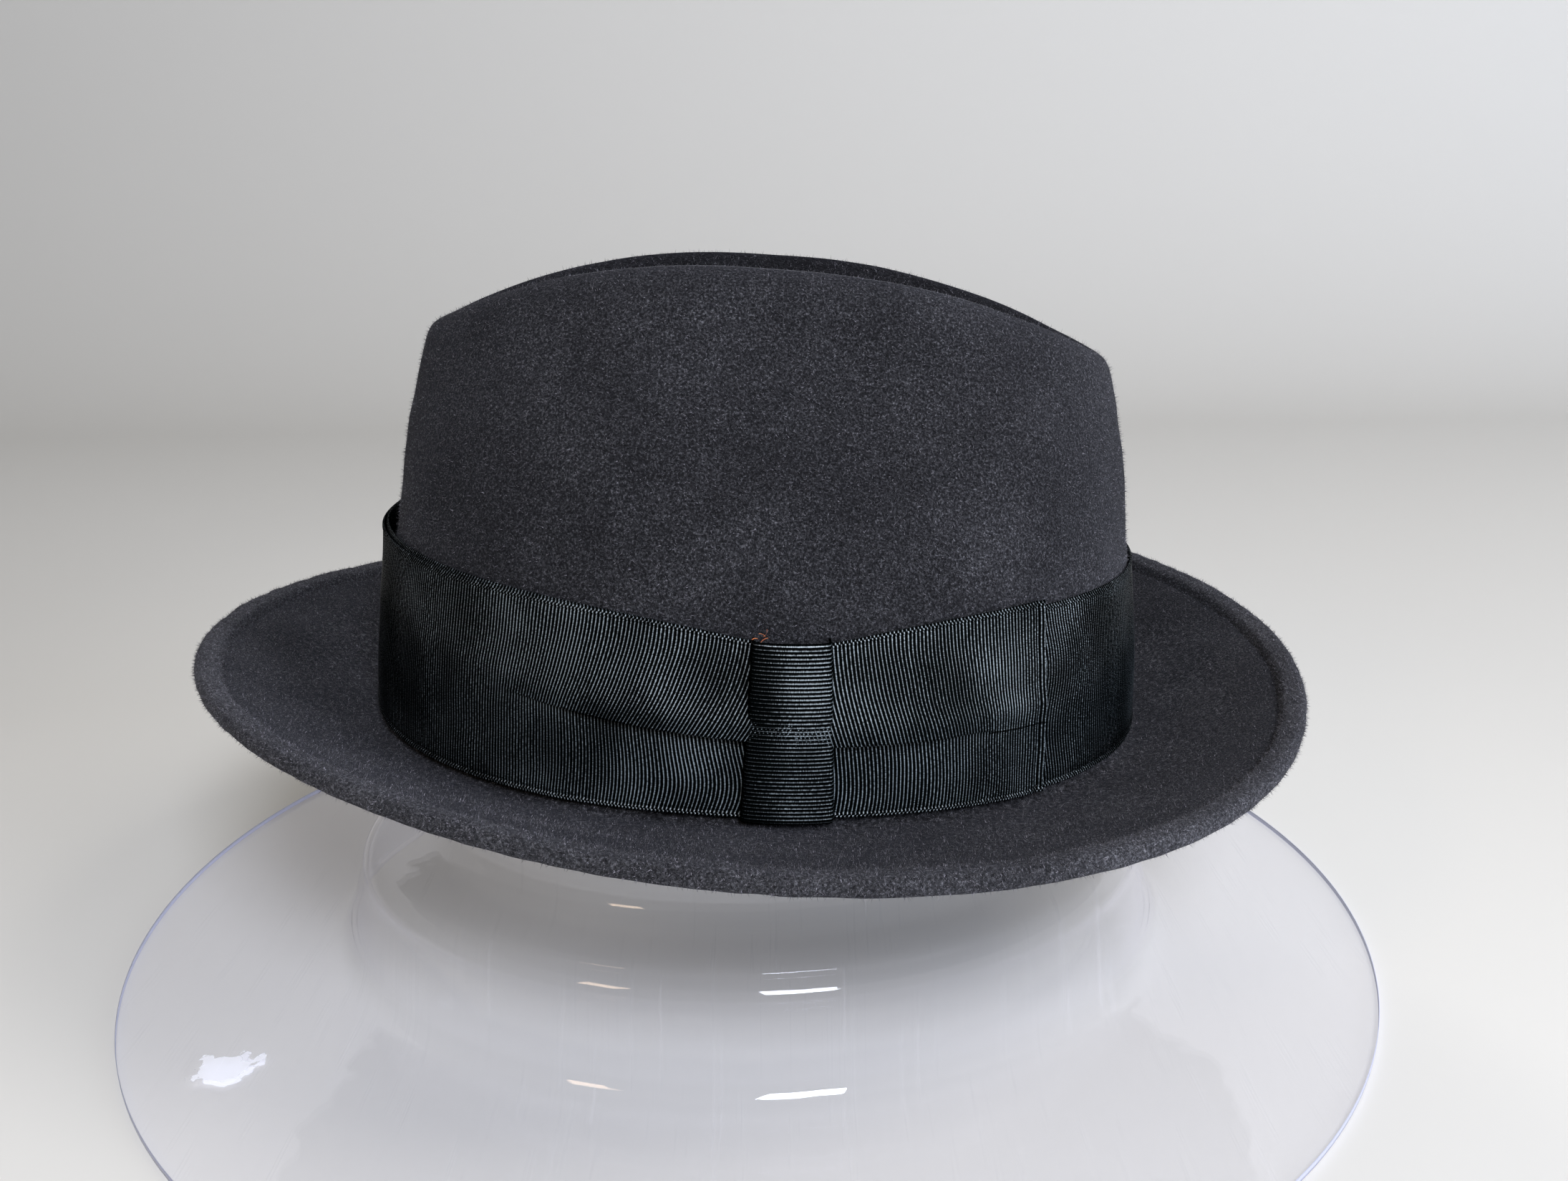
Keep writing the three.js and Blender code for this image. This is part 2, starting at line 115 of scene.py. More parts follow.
def eased(at, stations, values):
    """A smooth curve through a table's values."""
    stations = np.asarray(stations, float)
    values = np.asarray(values, float)
    slopes = np.gradient(values, stations)
    row = np.clip(np.searchsorted(stations, at) - 1, 0, len(stations) - 2)
    width = stations[row + 1] - stations[row]
    t = (at - stations[row]) / width
    start = (2 * t**3 - 3 * t**2 + 1) * values[row] + (t**3 - 2 * t**2 + t) * width * slopes[row]
    end = (3 * t**2 - 2 * t**3) * values[row + 1] + (t**3 - t**2) * width * slopes[row + 1]
    return start + end


def oval(angle, half_length, half_width, power=2.0):
    """Plan x and y of an oval. A power of 2 is an ellipse."""
    cos, sin = np.cos(angle), np.sin(angle)
    x = half_length * np.sign(cos) * np.abs(cos) ** (2 / power)
    y = half_width * np.sign(sin) * np.abs(sin) ** (2 / power)
    return x, y


def far_drop(angle):
    """How far the ridge away from the bow lies below the one above the bow."""
    return FAR_RIDGE_DROP * np.maximum(0, np.sin(angle)) ** 2


def ridge_height(angle):
    """The arch of the ridge, from the front over the apex to the back."""
    apex = APEX_FROM_FRONT - RIDGE_HALF_LENGTH
    along = RIDGE_HALF_LENGTH * np.cos(angle)
    to_front = along < apex
    end_height = np.where(to_front, FRONT_HEIGHT, BACK_HEIGHT)
    run = np.where(to_front, APEX_FROM_FRONT, 2 * RIDGE_HALF_LENGTH - APEX_FROM_FRONT)
    share = np.abs(along - apex) / run
    return APEX_HEIGHT - (APEX_HEIGHT - end_height) * share**ARCH_POWER - far_drop(angle)


def pinched(angle, level):
    """How far the side of the crown is pressed in."""
    press = 0
    for pinch in PINCHES:
        along = (np.cos(angle) - pinch["along"]) / pinch["reach"]
        up = (level - pinch["level"]) / pinch["spread"]
        press = press + pinch["depth"] * np.exp(-(along**2) - up**2)
    return DENT_DEPTH * np.abs(np.sin(angle)) * press


def wall_point(angle, level):
    """The crown's outer face at a share of its height."""
    ends = eased(level, WALL_LEVELS, WALL_ENDS)
    sides = eased(level, WALL_LEVELS, WALL_SIDES)
    half_length = RIDGE_HALF_LENGTH + (HEAD_HALF_LENGTH - RIDGE_HALF_LENGTH) * ends
    half_width = RIDGE_HALF_WIDTH + (HEAD_HALF_WIDTH - RIDGE_HALF_WIDTH) * sides
    power = 2 + (HEAD_OVAL_POWER - 2) * sides
    x, y = oval(angle, half_length, half_width, power)
    y = y - np.sign(y) * pinched(angle, level)
    return np.stack([x, y, level * ridge_height(angle)], axis=-1)


def crease_point(angle, reach, sink):
    """The crease between the two ridges."""
    half_length = CREASE_LINE_HALF_LENGTH + (RIDGE_HALF_LENGTH - CREASE_LINE_HALF_LENGTH) * reach
    x, y = oval(angle, half_length, RIDGE_HALF_WIDTH * reach)
    depth = CREASE_DEPTH + (CREASE_END_DEPTH - CREASE_DEPTH) * np.cos(angle) ** 2
    height = ridge_height(angle) + far_drop(angle) * (1 - reach) - depth * sink
    return np.stack([x, y, height], axis=-1)


def brim_point(angle, out):
    """The brim's upper face, a share of the way out from the break to the cut edge."""
    inner = wall_point(angle, 0 * angle)
    cos = np.cos(angle)
    end_width = np.where(cos < 0, BRIM_FRONT_WIDTH, BRIM_BACK_WIDTH)
    half_width = HEAD_HALF_WIDTH + BRIM_SIDE_WIDTH + BRIM_BACK_FULLNESS * cos
    edge_x, edge_y = oval(angle, HEAD_HALF_LENGTH + end_width, half_width)
    eighth = (angle / (math.pi / 4)) % 8
    rises = BRIM_RISES[-2:] + BRIM_RISES + BRIM_RISES[:3]
    rise = BRIM_RISE * eased(eighth, np.arange(-2, 11), rises)
    climb = 0.2 * out + 0.8 * out**2 * (3 - 2 * out)
    x = inner[..., 0] + (edge_x - inner[..., 0]) * out
    y = inner[..., 1] + (edge_y - inner[..., 1]) * out
    return np.stack([x, y, rise * climb - BREAK_DROP], axis=-1)


def welt_point(angle, inset):
    """The brim a distance in from its cut edge."""
    plan = brim_point(angle, 1 + 0 * angle) - wall_point(angle, 0 * angle)
    width = np.hypot(plan[..., 0], plan[..., 1])
    return brim_point(angle, 1 - inset / width)


def through_rings(rings, stops):
    """Points on smooth curves that run through a stack of rings, at shares of the stack."""
    rings = np.asarray(rings)
    at = np.clip(stops * (len(rings) - 1), 0, len(rings) - 1 - 1e-9)
    row = at.astype(int)
    t = (at - row)[:, None, None]
    before = rings[np.maximum(row - 1, 0)]
    here = rings[row]
    there = rings[row + 1]
    after = rings[np.minimum(row + 2, len(rings) - 1)]
    bend = 2 * before - 5 * here + 4 * there - after
    twist = 3 * here - before - 3 * there + after
    return here + 0.5 * t * ((there - before) + t * (bend + t * twist))


def evenly(rings, spacing):
    """Stops along a stack of rings that lie an even distance apart down the mesh."""
    fine = np.linspace(0, 1, 40 * len(rings))
    curve = through_rings(rings, fine)
    steps = np.linalg.norm(np.diff(curve, axis=0), axis=2).mean(axis=1)
    run = np.concatenate([[0], np.cumsum(steps)])
    count = max(2, round(run[-1] / spacing))
    return np.interp(np.linspace(0, run[-1], count + 1), run, fine)


def normals_of(points):
    """Outward unit normals of a grid of points, rows down the piece and columns round it."""
    down = np.gradient(points, axis=0)
    ahead = np.roll(points, -1, axis=1) - np.roll(points, 1, axis=1)
    normal = np.cross(down, ahead)
    size = np.linalg.norm(normal, axis=2, keepdims=True)
    return normal / np.maximum(size, 1e-9)


def swell(points, size, depth, seed):
    """Soft unevenness, as wide as size, for cloth and felt that was shaped by hand."""
    rng = np.random.default_rng(seed)
    total = np.zeros(points.shape[:-1])
    for _ in range(14):
        wave = rng.normal(0, 1, 3)
        wave = wave / np.linalg.norm(wave) * rng.uniform(0.7, 1.4) * 2 * math.pi / size
        total = total + np.sin(points @ wave + rng.uniform(0, 2 * math.pi))
    return depth * total / math.sqrt(14)


def placed(points, place):
    """Points in metres, laid where their piece belongs."""
    return (points @ np.array(place.to_3x3()).T + np.array(place.translation)) * MM


def grid_piece(name, points, place, closed_round, distances=None):
    """A mesh from a grid of points: a bmesh grid whose vertices are moved to them."""
    rows, columns = points.shape[:2]
    if closed_round:
        points = np.concatenate([points, points[:, :1]], axis=1)
        columns += 1
    mesh = bpy.data.meshes.new(name)
    bm = bmesh.new()
    bm.loops.layers.uv.new("cloth")
    bmesh.ops.create_grid(bm, x_segments=columns - 1, y_segments=rows - 1, size=1, calc_uvs=True)
    bm.to_mesh(mesh)
    bm.free()
    flat = np.empty(len(mesh.vertices) * 3)
    mesh.vertices.foreach_get("co", flat)
    spot = flat.reshape(-1, 3)
    column = np.rint((spot[:, 0] + 1) / 2 * (columns - 1)).astype(int)
    row = np.rint((1 - spot[:, 1]) / 2 * (rows - 1)).astype(int)
    mesh.vertices.foreach_set("co", placed(points[row, column], place).ravel())
    if distances is not None:
        corner = np.empty(len(mesh.loops), int)
        mesh.loops.foreach_get("vertex_index", corner)
        along, across = distances
        uv = np.stack([along[row, column], across[row, column]], axis=-1) * MM
        mesh.uv_layers.active.data.foreach_set("uv", uv[corner].ravel())
    piece = bpy.data.objects.new(name, mesh)
    bpy.context.scene.collection.objects.link(piece)
    return piece


def close_seams(piece, merge=0.01):
    """Joins the vertices that lie together and turns the faces outwards."""
    bm = bmesh.new()
    bm.from_mesh(piece.data)
    bmesh.ops.remove_doubles(bm, verts=bm.verts, dist=merge * MM)
    bmesh.ops.dissolve_degenerate(bm, edges=bm.edges, dist=1e-7)
    bmesh.ops.recalc_face_normals(bm, faces=bm.faces)
    bm.to_mesh(piece.data)
    bm.free()
    piece.data.polygons.foreach_set("use_smooth", [True] * len(piece.data.polygons))
    return piece


around = np.linspace(0, 2 * math.pi, FELT_COLUMNS, endpoint=False)
crown_rings = [crease_point(around, reach, sink) for reach, sink in zip(CREASE_REACHES, CREASE_SINKS)]
crown_levels = [1, 0.985, 0.955, 0.91, 0.86, 0.8, 0.74, 0.66, 0.58, 0.5, 0.42, 0.3, 0.2, 0.1, 0.0]
crown_rings += [wall_point(around, level + 0 * around) for level in crown_levels]
for out, above in ((0.006, 0.52), (0.03, 0.16), (0.08, 0.0)):
    crown_rings.append(brim_point(around, out + 0 * around) + [0, 0, BREAK_DROP * above])
crown_rings += [brim_point(around, out + 0 * around) for out in (0.17, 0.3, 0.45, 0.6, 0.75)]
crown_rings.append(welt_point(around, WELT_WIDTH + 1.6))
top_face = through_rings(crown_rings, evenly(crown_rings, FELT_ROW_SPACING))
hand_shaped = swell(top_face, 34, 0.28, 3) + swell(top_face, 13, 0.1, 4)
to_ridge = np.abs(top_face[..., 2] - ridge_height(around)[None, :])
hand_shaped = hand_shaped * (0.35 + 0.65 * np.clip(to_ridge / 14, 0, 1))
top_face = top_face + normals_of(top_face) * hand_shaped[..., None]

# The welt: its inset from the cut edge and its height over the brim. The first rows are the
# groove that the felling stitch pulls down, and the last ones the rounded cut edge.
WELT_INSETS = [1.07, 1.0, 0.97, 0.9, 0.75, 0.5, 0.3, 0.14, 0.04]
WELT_LIFTS = [-0.16, -0.2, 0.3, 0.86, 1.05, 1.06, 1.04, 0.92, 0.66]
welt_rows = []
stitch_pull = 1 + 0.05 * np.sin(around * 210) + 0.05 * np.sin(around * 23 + 1)
for inset, lift in zip(WELT_INSETS, WELT_LIFTS):
    row = welt_point(around, inset * WELT_WIDTH * (1 + 0.02 * np.sin(around * 17)))
    row[:, 2] += WELT_THICKNESS * lift * stitch_pull
    welt_rows.append(row)
# Round the cut edge to the underside.
for height, inset in ((0.25, -0.12), (-0.15, -0.16), (-0.55, -0.05), (-0.85, 0.35)):
    row = welt_point(around, inset + 0 * around)
    row[:, 2] += WELT_THICKNESS * height
    welt_rows.append(row)
welt_face = through_rings(welt_rows, np.linspace(0, 1, 44))
welt_face = welt_face + normals_of(welt_face) * swell(welt_face, 9, 0.1, 5)[..., None]

under_rows = [welt_point(around, inset + 0 * around) for inset in (1.2, 3.2, 7.0)]
under_rows = np.asarray(under_rows) - [0, 0, FELT_THICKNESS]
inner_face = top_face - normals_of(top_face) * FELT_THICKNESS
inner_face[0] = top_face[0] - [0, 0, FELT_THICKNESS]
under_face = np.concatenate([under_rows, inner_face[::-2][1:]], axis=0)
if len(inner_face) % 2 == 0:
    under_face = np.concatenate([under_face, inner_face[:1]], axis=0)
felt_points = np.concatenate([top_face, welt_face, under_face], axis=0)
# The felt's map holds painted light and the length of the nap. Its first value is above 0 on the welt
# and along the ridge over the bow, which the felt's material paints lighter, a painted highlight, and
# below 0 in the crease and on the far ridge, which it paints darker, a painted shade. Its second is 1
# on the brim, whose nap was left longer.
nap_and_painted_light = np.zeros((len(felt_points), FELT_COLUMNS + 1))
nap_and_painted_light[len(top_face) + 4 : len(top_face) + len(welt_face)] = 1
row_heights = top_face[:, :, 2].mean(axis=1)
ridge_row = row_heights.argmax()
nap_and_painted_light[:ridge_row] = CREASE_PAINTED_SHADE
over_bow = np.clip(-2 * np.sin(np.append(around, 2 * math.pi)), 0, 1)
nap_and_painted_light[ridge_row] = CREASE_PAINTED_SHADE + (RIDGE_PAINTED_HIGHLIGHT - CREASE_PAINTED_SHADE) * over_bow
nap_and_painted_light[ridge_row + 1] = CREASE_PAINTED_SHADE * (1 - over_bow)
long_nap = np.zeros((len(felt_points), FELT_COLUMNS + 1))
long_nap[: len(top_face)][row_heights < BRIM_BELOW] = 1
long_nap[len(top_face) :] = 1
felt_body = close_seams(
    grid_piece("felt_body_shaped", felt_points, hat_on_stand, True, (nap_and_painted_light / MM, long_nap / MM))
)


def linear(hex_colour):
    """An sRGB hex colour as the linear values that a shader takes."""
    channels = [int(hex_colour[i : i + 2], 16) / 255 for i in (1, 3, 5)]
    raised = [c / 12.92 if c <= 0.04045 else ((c + 0.055) / 1.055) ** 2.4 for c in channels]
    return (*raised, 1.0)


def new_material(name):
    """An empty node material."""
    material = bpy.data.materials.new(name)
    material.use_nodes = True
    material.node_tree.nodes.clear()
    return material


def add_node(material, kind, settings=None, **inputs):
    """Adds a node with its settings. An input is a value, an output, or a node for its first output.

    Inputs that share a name are given by number, as i0, i1 and so on.
    """
    node = material.node_tree.nodes.new(kind)
    for setting, value in (settings or {}).items():
        setattr(node, setting, value)
    for name, value in inputs.items():
        socket = node.inputs[int(name[1:]) if name[1:].isdigit() else name.replace("_", " ")]
        if isinstance(value, bpy.types.Node):
            value = value.outputs[0]
        if isinstance(value, bpy.types.NodeSocket):
            material.node_tree.links.new(value, socket)
        else:
            socket.default_value = value
    return node


def colour_ramp(material, factor, stops):
    """A colour ramp between hex colours at the given places."""
    node = add_node(material, "ShaderNodeValToRGB", Fac=factor)
    ends = node.color_ramp.elements
    for end, (place, colour) in zip((ends[0], ends[1]), (stops[0], stops[-1])):
        end.position = place
        end.color = linear(colour)
    for place, colour in stops[1:-1]:
        ends.new(place).color = linear(colour)
    return node


# Rabbit fur felt, pounced to a short nap: matt, with a fine grain of lighter fibre ends and soft
# cloudy patches where the nap lies another way. The sheen is the light caught in the fibre ends.
FELT_GRAIN = 0.6
LONG_GRAIN = 1.1
PATCH_SIZE = 30

fur_felt = new_material("rabbit fur felt, pounced")
here = add_node(fur_felt, "ShaderNodeTexCoord").outputs["Object"]
nap_and_light_map = add_node(fur_felt, "ShaderNodeTexCoord").outputs["UV"]
nap_and_light = add_node(fur_felt, "ShaderNodeSeparateXYZ", Vector=nap_and_light_map).outputs
grain, long_grain = [
    add_node(fur_felt, "ShaderNodeTexNoise", Vector=here, Scale=1 / (size * MM), Detail=4.0, Roughness=0.75)
    for size in (FELT_GRAIN, LONG_GRAIN)
]
patches = add_node(
    fur_felt, "ShaderNodeTexNoise", Vector=here, Scale=1 / (PATCH_SIZE * MM), Detail=4.0, Roughness=0.55
)
mottle = add_node(fur_felt, "ShaderNodeMath", {"operation": "MULTIPLY_ADD"}, i0=patches, i1=0.18, i2=-0.09)
# The map's first value paints the felt's tone lighter and darker: a painted highlight on the welt and the
# ridge over the bow, painted shade in the crease and on the far ridge.
mottle_and_painted_light = add_node(
    fur_felt, "ShaderNodeMath", {"operation": "MULTIPLY_ADD"}, i0=nap_and_light["X"], i1=0.08, i2=mottle
)
long_share = add_node(
    fur_felt, "ShaderNodeMath", {"operation": "MULTIPLY_ADD"}, i0=nap_and_light["X"], i1=-0.65, i2=nap_and_light["Y"]
)
both_grains = add_node(fur_felt, "ShaderNodeMix", i0=long_share, i2=grain, i3=long_grain)
tone = add_node(fur_felt, "ShaderNodeMath", {"operation": "ADD"}, i0=both_grains, i1=mottle_and_painted_light)
felt_colour = colour_ramp(
    fur_felt, tone, [(0.32, "#070708"), (0.48, "#19191b"), (0.6, "#323235"), (0.74, "#6a6a6f")]
)
nap = add_node(
    fur_felt, "ShaderNodeTexNoise", Vector=here, Scale=1 / (FELT_GRAIN * MM), Detail=3.0, Roughness=0.7
)
nap_relief = add_node(fur_felt, "ShaderNodeBump", Height=nap, Strength=1.0, Distance=FELT_GRAIN * MM)
felt_skin = add_node(
    fur_felt,
    "ShaderNodeBsdfPrincipled",
    Base_Color=felt_colour,
    Roughness=0.95,
    Specular_IOR_Level=0.1,
    Sheen_Weight=0.05,
    Sheen_Roughness=0.5,
    Sheen_Tint=linear("#c9cbe0"),
    Normal=nap_relief,
)
add_node(fur_felt, "ShaderNodeOutputMaterial", Surface=felt_skin)
felt_body.data.materials.append(fur_felt)
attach(felt_body, "root")
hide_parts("felt_body")


# The nap. The felt's own fibre ends stand up as a short soft fuzz, which the eye sees along the
# outline of the crown and the brim. Each is a sliver, a little coarser than the real fibre.

NAP_FIBRES = 190000
NAP_LENGTHS = (0.5, 1.7)
NAP_WIDTH = 0.1

nap_rng = np.random.default_rng(11)
outside = np.concatenate([top_face, welt_face], axis=0)
outside_normals = normals_of(outside)
down_step = np.roll(outside, -1, axis=0)[:-1] - outside[:-1]
round_step = np.roll(outside, -1, axis=1)[:-1] - outside[:-1]
cell_area = np.linalg.norm(np.cross(down_step, round_step), axis=2)
# The nap stands thicker over the brim, and thickest on the welt.
cell_area[len(top_face) :] *= 2.5
cell_area[row_heights.argmin() - 8 :] *= 1.4
chance = (cell_area / cell_area.sum()).ravel()
cells = nap_rng.choice(len(chance), NAP_FIBRES, p=chance)
cell_row, cell_column = np.unravel_index(cells, cell_area.shape)
slide = nap_rng.uniform(0, 1, (NAP_FIBRES, 2))
roots = outside[cell_row, cell_column] + down_step[cell_row, cell_column] * slide[:, :1]
roots = roots + round_step[cell_row, cell_column] * slide[:, 1:]
stand = outside_normals[cell_row, cell_column]
lie = nap_rng.normal(0, 1, (NAP_FIBRES, 3))
lie = lie - stand * (lie * stand).sum(axis=1, keepdims=True)
lie = lie / np.linalg.norm(lie, axis=1, keepdims=True)
lean = nap_rng.uniform(0.25, 1.3, (NAP_FIBRES, 1))
heading = stand * np.cos(lean) + lie * np.sin(lean)
side = np.cross(heading, stand + 0.3 * lie)
side = side / np.maximum(np.linalg.norm(side, axis=1, keepdims=True), 1e-6)
length = nap_rng.uniform(*NAP_LENGTHS, (NAP_FIBRES, 1)) * nap_rng.uniform(0.6, 1, (NAP_FIBRES, 1))
tips = roots + heading * length
half_width = side * NAP_WIDTH / 2
slivers = np.stack([roots - half_width, roots + half_width, tips], axis=1).reshape(-1, 3)
nap_mesh = bpy.data.meshes.new("felt_nap")
nap_mesh.from_pydata(placed(slivers, hat_on_stand), [], np.arange(NAP_FIBRES * 3).reshape(-1, 3))
felt_nap = bpy.data.objects.new("felt_nap", nap_mesh)
bpy.context.scene.collection.objects.link(felt_nap)

# Loose fur fibre ends, painted a little lighter and warmer than the felt, a painted glow for the light that
# comes through them.
loose_fur = new_material("rabbit fur fibre ends")
fur_place = add_node(loose_fur, "ShaderNodeTexCoord").outputs["Object"]
fur_mottle = add_node(loose_fur, "ShaderNodeTexNoise", Vector=fur_place, Scale=1 / (0.7 * MM), Detail=1.0)
fur_colour = colour_ramp(loose_fur, fur_mottle, [(0.4, "#151417"), (0.58, "#4c4a51"), (0.72, "#8f8c95")])
fur_skin = add_node(
    loose_fur, "ShaderNodeBsdfPrincipled", Base_Color=fur_colour, Roughness=0.8, Sheen_Weight=0.2
)
add_node(loose_fur, "ShaderNodeOutputMaterial", Surface=fur_skin)
felt_nap.data.materials.append(loose_fur)
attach(felt_nap, "root")


# The hat band. A two inch grosgrain ribbon round the crown, sewn through the felt. Its cross ribs
# are weft cords, and its woven edges are two rows of small scallops.

TOUCH_GAP = 0.3
BAND_FRONT_HEIGHT = 50.5
BAND_BACK_HEIGHT = 47
PLEATED_HEIGHT = 42
PLEAT_REACH = 34
KNOT_CENTRE = 8.5
RIB_PITCH = 0.95
RIB_DEPTH = 0.3
STEPS_PER_RIB = 4

turned = np.linspace(0, 2 * math.pi, 20001)
head_line = wall_point(turned, 0 * turned)
head_run = np.concatenate([[0], np.cumsum(np.linalg.norm(np.diff(head_line, axis=0), axis=1))])
HEAD_ROUND = head_run[-1]
knot_angle = 2 * math.pi - math.acos((KNOT_CENTRE / HEAD_HALF_LENGTH) ** (HEAD_OVAL_POWER / 2))
knot_run = np.interp(knot_angle, turned, head_run)


def angle_at(distance):
    """The angle at a distance round the head from the knot, towards the back where positive."""
    return np.interp((knot_run + distance) % HEAD_ROUND, head_run, turned)


def pleating(distance):
    """How tightly the ribbon is pleated, from 1 under the knot down to 0."""
    return np.exp(-((np.abs(distance) / PLEAT_REACH) ** 1.4))


def beside_wall(angle, height, out):
    """A point beside the crown at a height over the band's lower edge, moved straight out."""
    level = height / ridge_height(angle)
    point = wall_point(angle, level)
    nudge = 0.004
    ahead = wall_point(angle + nudge, level)
    behind = wall_point(angle - nudge, level)
    normal_x = ahead[..., 1] - behind[..., 1]
    normal_y = behind[..., 0] - ahead[..., 0]
    size = np.hypot(normal_x, normal_y)
    point[..., 0] += normal_x / size * out
    point[..., 1] += normal_y / size * out
    point[..., 2] = height
    return point


def band_height(angle):
    """The height of the band's upper edge. It dips under the bow, where the pleats narrow it."""
    full = BAND_FRONT_HEIGHT + (BAND_BACK_HEIGHT - BAND_FRONT_HEIGHT) * (np.cos(angle) + 1) / 2
    plan = wall_point(angle, 0 * angle)
    dip = np.where(plan[..., 1] < 0, pleating(plan[..., 0] - KNOT_CENTRE), 0)
    return full + (PLEATED_HEIGHT - TOUCH_GAP - full) * dip


def rib_profile(phase):
    """The round of one weft cord, 0 in the groove and 1 on its back."""
    return np.abs(np.sin(math.pi * phase)) ** 0.8


# A ribbon's woven edge, row by row from the edge inwards: the distance in, how proud the row lies,
# and the half-cord step that staggers its two rows of beads. A groove parts it from the face.
edge_insets = np.array([0.0, 0.25, 0.5, 0.65, 0.85, 1.1, 1.3, 1.6])
edge_prouds = np.array([-0.25, 0.16, 0.1, -0.1, 0.2, 0.12, -0.22, 0.0])
edge_steps = np.array([0.5, 0.5, 0.5, 0.0, 0.0, 0.0, 0.0, 0.0])
EDGE_BEAD = 0.25


def silhouette_curl(angle, height):
    """How far the ribbon's upper part stands off the felt round the front end."""
    return 2.1 * np.exp(-(((angle - math.pi) / 0.42) ** 2)) * np.clip(height / 50, 0, 1.1) ** 2


band_ribs = int(HEAD_ROUND / RIB_PITCH)
band_columns = band_ribs * STEPS_PER_RIB
band_run = np.arange(band_columns) / band_columns * HEAD_ROUND
band_phase = np.arange(band_columns) / STEPS_PER_RIB
from_knot = (band_run - knot_run + HEAD_ROUND / 2) % HEAD_ROUND - HEAD_ROUND / 2
band_top = band_height(angle_at(from_knot))[None, :]
face_shares = np.linspace(0.93, 0.07, 13)[:, None]
band_lift = np.concatenate(
    [
        band_top - edge_insets[:, None],
        edge_insets[-1] + (band_top - 2 * edge_insets[-1]) * face_shares,
        edge_insets[::-1, None] + 0 * band_top,
    ]
)
band_proud = np.concatenate([edge_prouds, 0 * face_shares[:, 0], edge_prouds[::-1]])[:, None]
band_step = np.concatenate([edge_steps, 0 * face_shares[:, 0], edge_steps[::-1]])[:, None]
band_relief = rib_profile(band_phase[None, :] + band_step)
band_lift[0] += EDGE_BEAD * (band_relief[0] - 0.5)
band_lift[-1] -= EDGE_BEAD * (band_relief[-1] - 0.5)
# Past the short wing's end the cords bend twice on their way down, where the wing was sewn on.
past_end = np.clip((from_knot - 58) / 6, 0, 1) * np.exp(-np.maximum(0, from_knot - 74) ** 2 / 130)
band_bend = 1.1 * past_end[None, :] * np.cos(band_lift / band_top * 3 * math.pi)
band_angle = angle_at(from_knot[None, :] + band_bend)
band_out = TOUCH_GAP + 0.5 + RIB_DEPTH * band_relief + band_proud
band_out = band_out + silhouette_curl(band_angle, band_lift)
band_outer = beside_wall(band_angle, band_lift, band_out)
inner_out = TOUCH_GAP + silhouette_curl(band_angle, band_lift)[::-5]
band_inner = beside_wall(band_angle[::-5], band_lift[::-5], inner_out)
band_points = np.concatenate([band_outer, band_inner, band_outer[:1]], axis=0)
cord_run = (band_phase[None, :] + band_step) * RIB_PITCH + 0 * band_lift
band_along = np.concatenate([cord_run, cord_run[::-5], cord_run[:1]], axis=0)
band_up = np.concatenate([band_lift, band_lift[::-5], band_lift[:1]], axis=0)
band_along = np.concatenate([band_along, band_along[:, :1] + band_ribs * RIB_PITCH], axis=1)
band_up = np.concatenate([band_up, band_up[:, :1]], axis=1)
hat_band = close_seams(
    grid_piece("hat_band_ribbon", band_points, hat_on_stand, True, (band_along, band_up)), 0.002
)

# Grosgrain, rayon warp over cotton weft cords: near black. A dull blue-green glint is painted along each
# cord's back, a painted highlight, and the grooves are painted dark, a painted shade. The fine warp ends
# break the glint into short dashes.
grosgrain = new_material("rayon and cotton grosgrain, woven")
ribbon_map = add_node(grosgrain, "ShaderNodeTexCoord").outputs["UV"]
ribbon_place = add_node(grosgrain, "ShaderNodeTexCoord").outputs["Object"]
in_cloth = add_node(grosgrain, "ShaderNodeSeparateXYZ", Vector=ribbon_map).outputs
half_cord = RIB_PITCH / 2 * MM
cord_back = add_node(grosgrain, "ShaderNodeMath", {"operation": "PINGPONG"}, i0=in_cloth["X"], i1=half_cord)
stretched = add_node(
    grosgrain, "ShaderNodeMapping", Vector=ribbon_map, Scale=(1 / (0.9 * MM), 1 / (0.3 * MM), 1)
)
warp_ends = add_node(grosgrain, "ShaderNodeTexNoise", Vector=stretched, Scale=1.0, Detail=3.0)
wear = add_node(grosgrain, "ShaderNodeTexNoise", Vector=ribbon_place, Scale=1 / (22 * MM), Detail=3.0)
worn_tone = add_node(grosgrain, "ShaderNodeMath", {"operation": "MULTIPLY_ADD"}, i0=wear, i1=0.5, i2=-0.25)
# Each cord's back is painted light and each groove dark, a painted highlight and painted shade, over the
# wear.
wear_and_painted_cord_light = add_node(
    grosgrain, "ShaderNodeMath", {"operation": "MULTIPLY_ADD"}, i0=cord_back, i1=1 / half_cord, i2=worn_tone
)
dashes = add_node(grosgrain, "ShaderNodeMath", {"operation": "MULTIPLY_ADD"}, i0=warp_ends, i1=1.0, i2=-0.5)
# Seen aslant, as at both ends of the head, the cords are painted darker: a painted shade for the lit backs
# that they hide.
aslant = add_node(grosgrain, "ShaderNodeLayerWeight", Blend=0.5).outputs["Facing"]
slant_painted_shade = add_node(
    grosgrain, "ShaderNodeMapRange", Value=aslant, From_Min=0.08, From_Max=0.8, To_Max=-0.29
)
slant_sum = add_node(grosgrain, "ShaderNodeMath", {"operation": "ADD"}, i0=wear_and_painted_cord_light, i1=slant_painted_shade)
